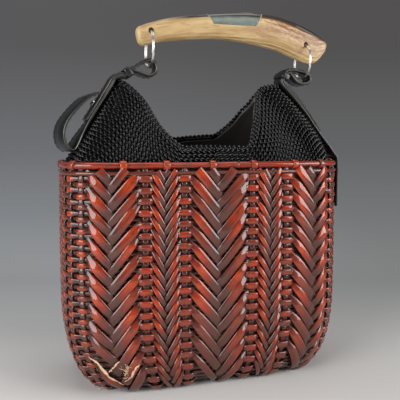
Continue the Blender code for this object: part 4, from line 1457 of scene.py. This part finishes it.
def build_keeper(side, label, leather):
    """A keeper: a flat band with rolled edges, carried round a rounded rectangle."""
    straps = settings("straps")
    middle, along = keeper_frame(side)
    wide = straps.neck / 2 + straps.fit + straps.keeper_thickness / 2
    high = straps.thickness + 2 * straps.fit + straps.keeper_thickness / 2
    angle = np.linspace(0, 2 * pi, 48, endpoint=False)
    corner = 2 / 7.0
    y = wide * signed_power(np.cos(angle), corner)
    out = high * signed_power(np.sin(angle), corner)
    loop = np.stack([y, out], axis=-1)
    forward = unit(np.roll(loop, -1, axis=0) - np.roll(loop, 1, axis=0))
    normal = np.stack([forward[:, 1], -forward[:, 0]], axis=-1)
    across, lift = splint_section(straps.keeper_length / 2, straps.keeper_thickness * 0.8, 0.0002)
    ring = loop[:, None, :] + normal[:, None, :] * lift[None, :, None]
    x = middle[0] + along[0] * across[None, :] - along[1] * ring[..., 1]
    z = middle[1] + along[1] * across[None, :] + along[0] * ring[..., 1]
    # Paler along the keeper's rolled edges: worn leather and painted highlight
    worn = np.clip((np.abs(across) / across.max() - 0.9) * 6, 0, 1)
    return add_piece(
        "keeper_leather_" + label, np.stack([x, ring[..., 0], z], axis=-1)[None], leather,
        "leather", ("keeper_" + label,), close_rows=True, caps=False, ends=worn,
    )


# Rings

def build_split_ring(side, label, steel):
    """A split ring: one wire wound twice round, each end cut square."""
    rings = settings("rings")
    axis, upward = swing_axis()
    x, z = ring_centre(side)
    wire = rings.wire / 4 * 0.98
    turns = 2
    angle = np.linspace(0, 2 * pi * turns, 48 * turns + 1) - 0.6 * pi
    shift = wire * np.clip(np.linspace(-1, 1, len(angle)) * 6, -1, 1)
    away = np.cos(angle)[:, None] * upward + np.sin(angle)[:, None] * np.array([0.0, 1.0, 0.0])
    path = np.array([x, 0.0, z]) + away * rings.radius + axis * shift[:, None]
    around = np.linspace(0, 2 * pi, 8, endpoint=False)
    ring = wire * circles(around, away, np.broadcast_to(axis, away.shape))
    return add_piece(
        "split_ring_" + label, (path[:, None, :] + ring)[None, :, ::-1], steel, "steel",
        ("ring_" + label,), body="grip", sharp=0.9,
    )


# Grip

def grip_corner():
    """X of the grip's left end and Z of its lowest line."""
    grip, rings = settings("grip"), settings("rings")
    lowest = settings("body").height + rings.right_rise - grip.foot_drop
    return -rings.left_reach - grip.overhang, lowest


def grip_points(stations, sides, relief):
    """The antler's surface: superellipse sections along its length, with lengthwise furrows."""
    grip = settings("grip")
    left, lowest = grip_corner()
    even = np.linspace(0, 1, stations)
    where = GRIP_CROWDING * ((1 - np.cos(pi * even)) / 2) + (1 - GRIP_CROWDING) * even
    top, bottom, depth = (smooth_table(where, GRIP_SECTIONS, column) for column in (1, 2, 3))
    angle = np.linspace(0, 2 * pi, sides, endpoint=False)
    cosine = signed_power(np.cos(angle), 2 / grip.section_power)
    sine = signed_power(np.sin(angle), 2 / grip.section_power)
    place = where[:, None]
    furrow = (
        np.sin(angle * 17 + 9 * place + 2 * np.sin(place * 11))
        + 0.7 * np.sin(angle * 31 - 14 * place)
        + 0.5 * np.sin(angle * 7 + 23 * place + np.sin(angle * 5))
    )
    scale = 1 + relief * furrow * smooth_step(place * 30) / (grip.span * 0.25)
    y = cosine[None, :] * (grip.depth * depth / 2)[:, None] * scale
    half = grip.span * (top - bottom) / 2
    z = (lowest + grip.span * (top + bottom) / 2)[:, None] + sine[None, :] * half[:, None] * scale
    return together((left + grip.length * where)[:, None], y, z), where, angle


def stone_wedge(grow):
    """A wedge that bounds the stone: sloping ends and foot, open at the front and top."""
    grip = settings("grip")
    left, lowest = grip_corner()
    start = left + grip.length * grip.stone_start + grip.stone_bevel - grow
    end = left + grip.length * grip.stone_start + grip.stone_length - grip.stone_bevel + grow
    foot = lowest + grip.span * grip.stone_foot
    top = foot + grip.span
    spread = grip.stone_bevel / (1 - grip.stone_foot)
    outline = ((start, foot - grow), (end, foot - grow), (end + spread, top), (start - spread, top))
    rows = np.array([
        [(x, y, z) for x, z in outline] for y in (grip.stone_back + grow, -grip.depth)
    ])
    return mesh_object("wedge", rows[None], grain=None, ends=None)


def apply_boolean(item, cutter, operation):
    """Cut an object by a cutter, keep the result as its mesh and remove the cutter."""
    modifier = item.modifiers.new("cut", "BOOLEAN")
    modifier.operation = operation
    modifier.solver = "EXACT"
    modifier.object = cutter
    graph = bpy.context.evaluated_depsgraph_get()
    mesh = bpy.data.meshes.new_from_object(item.evaluated_get(graph))
    item.modifiers.clear()
    item.data = mesh
    bpy.data.objects.remove(cutter, do_unlink=True)


def build_grip(materials):
    """The antler, bored for both rings and let in for the stone, and the stone."""
    grip, rings = settings("grip"), settings("rings")
    made = []
    for name, relief in (("antler", grip.grain), ("grip_stone", 0.0)):
        points, where, around = grip_points(200, 64, relief)
        height = smooth_table(where, GRIP_SECTIONS, 1) - smooth_table(where, GRIP_SECTIONS, 2)
        grain = together(
            (where * grip.length)[:, None], np.sin(around) * height[:, None] * grip.span / 2,
            np.cos(around) * grip.depth / 2,
        )
        made.append(mesh_object(name, points[None], grain=grain[None], ends=np.sin(around)))
    antler, stone = made
    upward = swing_axis()[1]
    half_depth = grip.depth * grip.hole_depth / 2
    sag = rings.radius - sqrt(rings.radius**2 - half_depth**2)
    for x, z in (ring_centre(-1), ring_centre(1)):
        middle = np.array([x, 0.0, z]) + upward * (rings.radius - sag / 2)
        bpy.ops.mesh.primitive_cylinder_add(
            vertices=32, radius=grip.hole / 2, depth=3 * grip.depth, location=middle,
            rotation=(pi / 2, 0, 0),
        )
        apply_boolean(antler, bpy.context.object, "DIFFERENCE")
    apply_boolean(antler, stone_wedge(STONE_ROOM), "DIFFERENCE")
    apply_boolean(stone, stone_wedge(0.0), "INTERSECT")
    finish_piece(antler, materials["antler"], "grip", ("handle",), sharp=0.7)
    finish_piece(stone, materials["stone"], "grip", ("inlay",), sharp=0.7)


# Materials

class Shader:
    """A new material's node tree, with short calls to add and link nodes."""

    def __init__(self, name, constants):
        self.material = bpy.data.materials.new(name)
        self.material.use_nodes = True
        self.tree = self.material.node_tree
        self.surface = self.tree.nodes["Principled BSDF"]
        for socket, value in constants.items():
            self.surface.inputs[socket].default_value = value

    def link(self, source, target):
        """Link an output to an input, or set the input to a plain value."""
        if isinstance(source, bpy.types.NodeSocket):
            self.tree.links.new(source, target)
        else:
            target.default_value = source

    def node(self, kind, inputs=(), **choices):
        """Add a node with its choices, feed its inputs by name, and give its outputs."""
        made = self.tree.nodes.new("ShaderNode" + kind)
        for key, value in choices.items():
            setattr(made, key, value)
        for key, value in dict(inputs).items():
            self.link(value, made.inputs[key])
        return made.outputs

    def attribute(self, name, kind="Vector"):
        """An attribute of the mesh."""
        return self.node("Attribute", attribute_name=name)[kind]

    def position(self):
        """Object coordinates."""
        return self.node("TexCoord")["Object"]

    def part(self, vector, letter):
        """One number of a vector."""
        return self.node("SeparateXYZ", {"Vector": vector})[letter]

    def noise(self, vector, scale, detail=2.0, roughness=0.5):
        """Smooth noise from 0 to 1, over a vector scaled by one number or by three."""
        scale = scale if isinstance(scale, tuple) else (scale, scale, scale)
        scaled = self.node("Mapping", {"Scale": scale, "Vector": vector})["Vector"]
        inputs = {"Scale": 1.0, "Detail": detail, "Roughness": roughness, "Vector": scaled}
        return self.node("TexNoise", inputs)["Fac"]

    def ramp(self, value, stops):
        """A colour ramp: stops are places and colours."""
        node = self.tree.nodes.new("ShaderNodeValToRGB")
        bar = node.color_ramp
        while len(bar.elements) < len(stops):
            bar.elements.new(0.5)
        for element, (place, tint) in zip(bar.elements, stops):
            element.position = place
            element.color = (*tint, 1.0)
        self.link(value, node.inputs["Fac"])
        return node.outputs["Color"]

    def levels(self, value, low, high):
        """A number mapped so that low gives 0 and high gives 1, held between them."""
        return self.node("MapRange", {"From Min": low, "From Max": high, "Value": value})["Result"]

    def blend(self, factor, first, second, kind="MIX"):
        """A mix of two colours."""
        first, second = (
            (*source, 1.0) if isinstance(source, tuple) else source for source in (first, second)
        )
        inputs = {"Factor": factor, "A": first, "B": second}
        return self.node("Mix", inputs, data_type="RGBA", blend_type=kind)["Result"]

    def shade(self, noise, name, factor):
        """A colour setting that noise makes lighter or darker by up to a factor."""
        return self.blend(self.levels(noise, 0.35, 0.7), pick(name), pick(name, factor))

    def relief(self, value, distance, strength):
        """Bump from a number."""
        bump = self.node("Bump", {"Distance": distance, "Strength": strength, "Height": value})
        self.link(bump["Normal"], self.surface.inputs["Normal"])

    def colour(self, source):
        """Set the base colour, and give the finished material."""
        self.link(source, self.surface.inputs["Base Color"])
        return self.material


def pick(name, factor=1.0):
    """One of the colour settings, as a tuple, made lighter or darker by a factor."""
    return tuple(min(1.0, factor * part) for part in getattr(settings("colours"), name))


def cane_material():
    """Dyed, varnished cane: red along its free length, brown at its covered ends, fine grain;
    painted shade in its hollows and recesses.
    """
    shader = Shader("cane", {
        "Roughness": 0.36, "Coat Weight": 0.95, "Coat Roughness": 0.06, "Specular IOR Level": 0.05
    })
    brown, dark, red = pick("cane_brown"), pick("cane_shade_and_grain"), pick("cane_red")
    grain = shader.attribute("grain")
    streaks = shader.noise(grain, (60.0, 2600.0, 40.0))
    blotch = shader.noise(grain, (130.0, 160.0, 90.0))
    # The ramp's dark ends are painted shade: at 0 under the next arm and in the hollows, at 1 where
    # an arm goes in beside a column
    along = shader.ramp(shader.attribute("ends", "Fac"), [
        (0.0, dark), (0.12, brown), (0.30, brown), (0.44, red), (0.66, pick("cane_orange")),
        (0.86, red), (1.0, dark),
    ])
    worn = shader.blend(shader.levels(shader.part(grain, "Z"), 0.40, 1.25), along, brown)
    spots = shader.blend(shader.levels(blotch, 0.48, 0.80), worn, brown)
    low = shader.levels(shader.part(shader.position(), "Z"), 0.085, -0.04)
    lower = shader.blend(low, spots, brown)
    shader.relief(streaks, 0.00012, 0.6)
    fine = shader.levels(streaks, 0.30, 0.62)
    return shader.colour(shader.blend(fine, shader.blend(0.62, lower, dark), lower))


def fibre_material():
    """Raw cane fibre where a splint has torn."""
    shader = Shader("torn_fibre", {"Roughness": 0.75})
    streaks = shader.levels(shader.noise(shader.position(), (900.0, 900.0, 260.0)), 0.2, 0.55)
    return shader.colour(shader.blend(streaks, pick("cane_red"), pick("fibre")))


def cord_material():
    """Waxed black cord with a slight shine."""
    shader = Shader("cord", {"Roughness": 0.13, "Specular IOR Level": 0.30})
    fuzz = shader.noise(shader.position(), 1400.0)
    shader.relief(fuzz, 0.0001, 0.2)
    return shader.colour(shader.shade(fuzz, "cord", 2.0))


def lining_material():
    """Dark smooth lining cloth."""
    shader = Shader("lining_cloth", {"Roughness": 0.5, "Sheen Weight": 0.25})
    shader.relief(shader.noise(shader.position(), 3000.0, 1.0), 0.00008, 0.4)
    return shader.colour(shader.shade(shader.noise(shader.position(), 40.0), "lining", 1.9))


def leather_material():
    """Glossy black leather, paler along its rolled edges: worn edge and painted highlight."""
    shader = Shader("leather", {"Roughness": 0.36, "Coat Weight": 0.15, "Coat Roughness": 0.2})
    pores = shader.noise(shader.position(), 700.0, 3.0)
    shader.relief(pores, 0.0002, 0.35)
    # Blend towards the pale edge colour: worn edge and painted highlight
    worn = shader.levels(shader.attribute("ends", "Fac"), 0.62, 1.0)
    base = shader.shade(pores, "leather", 2.2)
    return shader.colour(shader.blend(worn, base, pick("leather_edge")))


def steel_material():
    """Plated steel wire."""
    shader = Shader("steel", {"Roughness": 0.34, "Metallic": 1.0})
    return shader.colour(shader.shade(shader.noise(shader.position(), 500.0), "steel", 0.7))


def antler_material():
    """Polished antler: tan, with brown grain at its top and thick end, and darker along its top
    crest.
    """
    shader = Shader("antler", {"Roughness": 0.42, "Coat Weight": 0.2, "Coat Roughness": 0.25})
    grain = shader.attribute("grain")
    top = shader.attribute("ends", "Fac")
    along = shader.part(grain, "X")
    streak = shader.noise(grain, (26.0, 420.0, 300.0), 3.0, 0.6)
    fine = shader.noise(grain, (110.0, 1300.0, 800.0))
    soft = shader.noise(grain, (22.0, 110.0, 70.0))
    pores = shader.noise(grain, (240.0, 1100.0, 900.0), 2.0, 0.6)
    pale, brown = pick("antler_pale"), pick("antler_brown")
    base = shader.blend(shader.levels(soft, 0.36, 0.64), pick("antler"), pale)
    foot = shader.levels(along, 0.085, 0.150)
    thick = shader.blend(1.0, foot, shader.levels(top, -0.95, 0.55), "MULTIPLY")
    reach = shader.blend(0.65, thick, shader.levels(top, 0.30, 1.4), "ADD")
    mottle = shader.levels(shader.blend(0.45, streak, pores), 0.43, 0.56)
    lines = shader.blend(1.0, mottle, reach, "MULTIPLY")
    stain = shader.blend(shader.levels(lines, 0.0, 0.75), base, brown)
    second = shader.blend(shader.levels(fine, 0.55, 0.85), stain, brown)
    # Darker along the top crest, from a little past the left end
    ridge, start = shader.levels(top, 0.58, 0.72), shader.levels(along, 0.026, 0.050)
    crest = shader.blend(1.0, ridge, start, "MULTIPLY")
    top_line = shader.blend(crest, second, pick("grip_dark"))
    left_end = shader.blend(shader.levels(along, 0.004, 0.0), top_line, pale)
    both_ends = shader.blend(shader.levels(along, 0.1935, 0.1958), left_end, pale)
    shader.relief(streak, 0.0005, 0.5)
    return shader.colour(both_ends)


def stone_material():
    """Polished grey-green stone with soft clouds, a few dark specks and painted shade along its top
    crest.
    """
    shader = Shader("grip_stone", {"Roughness": 0.30, "Coat Weight": 0.3, "Coat Roughness": 0.1})
    cloud = shader.levels(shader.noise(shader.position(), (120.0, 120.0, 260.0), 3.0), 0.35, 0.68)
    speck = shader.levels(shader.noise(shader.position(), 900.0), 0.66, 0.74)
    base = shader.blend(cloud, pick("stone"), pick("stone", 1.5))
    specked = shader.blend(speck, base, pick("grip_dark"))
    # Painted shade along the stone's top crest
    crest = shader.levels(shader.attribute("ends", "Fac"), 0.55, 0.70)
    return shader.colour(shader.blend(crest, specked, pick("grip_dark")))


MAKERS = {
    "cane": cane_material,
    "fibre": fibre_material,
    "cord": cord_material,
    "lining": lining_material,
    "leather": leather_material,
    "steel": steel_material,
    "antler": antler_material,
    "stone": stone_material,
}


def material(name):
    """A material by its short name, made the first time that it is asked for."""
    kept = bpy.data.materials.get("handbag_" + name)
    if kept is None:
        kept = MAKERS[name]()
        kept.name = "handbag_" + name
    return kept


# Operators

class HANDBAG_OT_basket(bpy.types.Operator):
    """Weave the basket: weavers, stakes, herringbone bands and base"""

    bl_idname = "handbag.basket"
    bl_label = "Basket"

    def execute(self, context):
        wall = Wall()
        cane = material("cane")
        build_weavers(wall, cane)
        build_stakes(wall, cane)
        build_splints(wall, cane)
        build_base(wall, cane)
        build_torn_cane(wall, material("fibre"))
        return {"FINISHED"}


class HANDBAG_OT_rim(bpy.types.Operator):
    """Lay the cane rim and its bindings"""

    bl_idname = "handbag.rim"
    bl_label = "Rim"

    def execute(self, context):
        build_rim(Wall(), material("cane"))
        return {"FINISHED"}


class HANDBAG_OT_yoke(bpy.types.Operator):
    """Wind the yoke's cords and plait its edge"""

    bl_idname = "handbag.yoke"
    bl_label = "Yoke"

    def execute(self, context):
        surface = Yoke(Wall())
        cord = material("cord")
        build_cords(surface, cord)
        build_plait(surface, cord)
        build_backing(surface, cord)
        return {"FINISHED"}


class HANDBAG_OT_lining(bpy.types.Operator):
    """Hang the lining"""

    bl_idname = "handbag.lining"
    bl_label = "Lining"

    def execute(self, context):
        build_lining(Yoke(Wall()), material("lining"))
        return {"FINISHED"}


class HANDBAG_OT_straps(bpy.types.Operator):
    """Fold the leather straps, with their stitches, keepers and rivets"""

    bl_idname = "handbag.straps"
    bl_label = "Straps"

    def execute(self, context):
        surface = Yoke(Wall())
        parts = {"leather": material("leather"), "cord": material("cord")}
        for side, label in ((-1, "left"), (1, "right")):
            build_strap(surface, side, label, parts)
            build_keeper(side, label, material("leather"))
            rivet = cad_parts["rivet_" + label]
            rivet.material_slots[0].material = material("steel")
        return {"FINISHED"}


class HANDBAG_OT_rings(bpy.types.Operator):
    """Wind the two split rings"""

    bl_idname = "handbag.rings"
    bl_label = "Rings"

    def execute(self, context):
        for side, label in ((-1, "left"), (1, "right")):
            build_split_ring(side, label, material("steel"))
        return {"FINISHED"}


class HANDBAG_OT_grip(bpy.types.Operator):
    """Carve the antler grip and set its stone"""

    bl_idname = "handbag.grip"
    bl_label = "Grip"

    def execute(self, context):
        build_grip({"antler": material("antler"), "stone": material("stone")})
        return {"FINISHED"}


def area_light(name, place, aim, width, height, power):
    """A soft rectangular light that faces a point."""
    lamp = bpy.data.lights.new(name, "AREA")
    lamp.shape = "RECTANGLE"
    lamp.size = width
    lamp.size_y = height
    lamp.energy = power
    item = bpy.data.objects.new(name, lamp)
    item.location = place
    item.rotation_euler = (Vector(place) - Vector(aim)).to_track_quat("Z", "Y").to_euler()
    bpy.context.scene.collection.objects.link(item)
    return item


def backdrop_material():
    """A pale floor that darkens smoothly towards the top of the backdrop, and to the right: painted
    shade, with painted light on the left.
    """
    shader = Shader("backdrop", {"Roughness": 0.9, "Specular IOR Level": 0.1})
    height = shader.attribute("ends", "Fac")
    shade = shader.ramp(height, BACKDROP)
    # Painted light towards the left and painted shade towards the right, stronger near the floor
    left = shader.levels(shader.part(shader.position(), "X"), 0.5, -0.5)
    floor = shader.levels(height, 0.28, 0.12)
    dim = shader.blend(floor, (0.88, 0.88, 0.86), (0.68, 0.68, 0.67))
    deep = shader.blend(1.0, shade, dim, "MULTIPLY")
    pale = shader.blend(1.0, shade, (1.40, 1.42, 1.45), "MULTIPLY")
    return shader.colour(shader.blend(left, deep, pale))


def build_backdrop():
    """A floor that curves up into a wall: a flat run, a quarter circle and an upright run.

    Its painted shade follows the angle under which the camera sees each place: minus the height
    over the camera's own, over the distance in plan.
    """
    stage = settings("stage")
    bend, start = 0.5, 0.35
    flat = np.stack([np.linspace(-0.62, start, 60), np.zeros(60)], axis=-1)
    front = np.array([[-2.6, 0.0], [-1.2, 0.0]])
    angle = np.linspace(0.03, pi / 2, 40)
    curve = np.stack([start + bend * np.sin(angle), bend * (1 - np.cos(angle))], axis=-1)
    upright = np.array([[start + bend, height] for height in (0.55, 0.62, 0.7, 0.8, 1.0, 1.8)])
    line = np.concatenate([front, flat, curve, upright])
    away = stage.distance * cos(stage.elevation) + line[:, 0]
    eye = stage.target_height + stage.distance * sin(stage.elevation)
    seen = (line[:, 1] - eye) / np.maximum(away, 0.05)
    shade = np.clip(np.interp(seen, (-0.56, 0.17), (0.0, 1.0)), 0, 1)
    side = np.array([-3.0, -1.0, -0.3, 0.3, 1.0, 3.0])
    back = line[:, :1]
    points = together(
        side * cos(stage.azimuth) - back * sin(stage.azimuth),
        side * sin(stage.azimuth) + back * cos(stage.azimuth), line[:, 1:] - 0.0002,
    )
    item = mesh_object(
        "backdrop", points[None], close_columns=False, caps=False, grain=None,
        ends=shade[:, None],
    )
    item.data.materials.append(backdrop_material())
    return item


class HANDBAG_OT_stage(bpy.types.Operator):
    """Set the backdrop, the lights and the camera"""

    bl_idname = "handbag.stage"
    bl_label = "Stage"

    def execute(self, context):
        stage = settings("stage")
        floor = build_backdrop()
        aim = (stage.target_side, 0.0, stage.target_height)
        lights = [
            area_light("key_light", (0.45, -1.10, 1.15), aim, 0.6, 0.5, stage.key),
            area_light("left_light", (-0.97, -0.54, 0.50), aim, 0.78, 0.8, 0.95 * stage.side),
            area_light("right_light", (0.98, -0.72, 0.50), aim, 0.90, 0.8, 1.15 * stage.side),
            area_light("top_light", (0.0, 0.15, 1.3), aim, 1.0, 0.6, stage.top),
        ]
        world = bpy.data.worlds.new("studio")
        world.use_nodes = True
        sky = world.node_tree.nodes["Background"].inputs
        sky["Color"].default_value = (0.5, 0.5, 0.5, 1.0)
        sky["Strength"].default_value = stage.world
        context.scene.world = world
        back = Vector((
            sin(stage.azimuth) * cos(stage.elevation),
            -cos(stage.azimuth) * cos(stage.elevation), sin(stage.elevation),
        ))
        view = bpy.data.cameras.new("camera")
        view.sensor_width = 36.0
        view.lens = stage.lens
        view.clip_start = 0.01
        camera = bpy.data.objects.new("camera", view)
        camera.location = Vector(aim) + back * stage.distance
        camera.rotation_euler = back.to_track_quat("Z", "Y").to_euler()
        context.scene.collection.objects.link(camera)
        context.scene.camera = camera
        context.scene.view_settings.view_transform = "Standard"
        return {"FINISHED"}


OPERATORS = (
    HANDBAG_OT_basket,
    HANDBAG_OT_rim,
    HANDBAG_OT_yoke,
    HANDBAG_OT_lining,
    HANDBAG_OT_straps,
    HANDBAG_OT_rings,
    HANDBAG_OT_grip,
    HANDBAG_OT_stage,
)


class HANDBAG_PT_panel(bpy.types.Panel):
    """The handbag's pieces and their settings"""

    bl_idname = "HANDBAG_PT_panel"
    bl_label = "Woven handbag"
    bl_space_type = "VIEW_3D"
    bl_region_type = "UI"
    bl_category = "Handbag"

    def draw(self, context):
        for operator in OPERATORS:
            self.layout.operator(operator.bl_idname)
        for name in SETTINGS:
            group = getattr(context.scene, name)
            box = self.layout.box()
            box.label(text=name.replace("_", " ").capitalize())
            for key in group.__annotations__:
                box.prop(group, key)


def register():
    """Register the settings, the operators and the panel."""
    for name, group in SETTINGS.items():
        bpy.utils.register_class(group)
        setattr(bpy.types.Scene, name, bpy.props.PointerProperty(type=group))
    for item in (*OPERATORS, HANDBAG_PT_panel):
        bpy.utils.register_class(item)


def unregister():
    """Remove the panel, the operators and the settings."""
    for item in (HANDBAG_PT_panel, *reversed(OPERATORS)):
        bpy.utils.unregister_class(item)
    for name, group in SETTINGS.items():
        delattr(bpy.types.Scene, name)
        bpy.utils.unregister_class(group)


def main():
    """Build every piece."""
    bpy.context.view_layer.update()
    register()
    for operator in OPERATORS:
        group, name = operator.bl_idname.split(".")
        getattr(getattr(bpy.ops, group), name)()


if __name__ == "__main__":
    main()
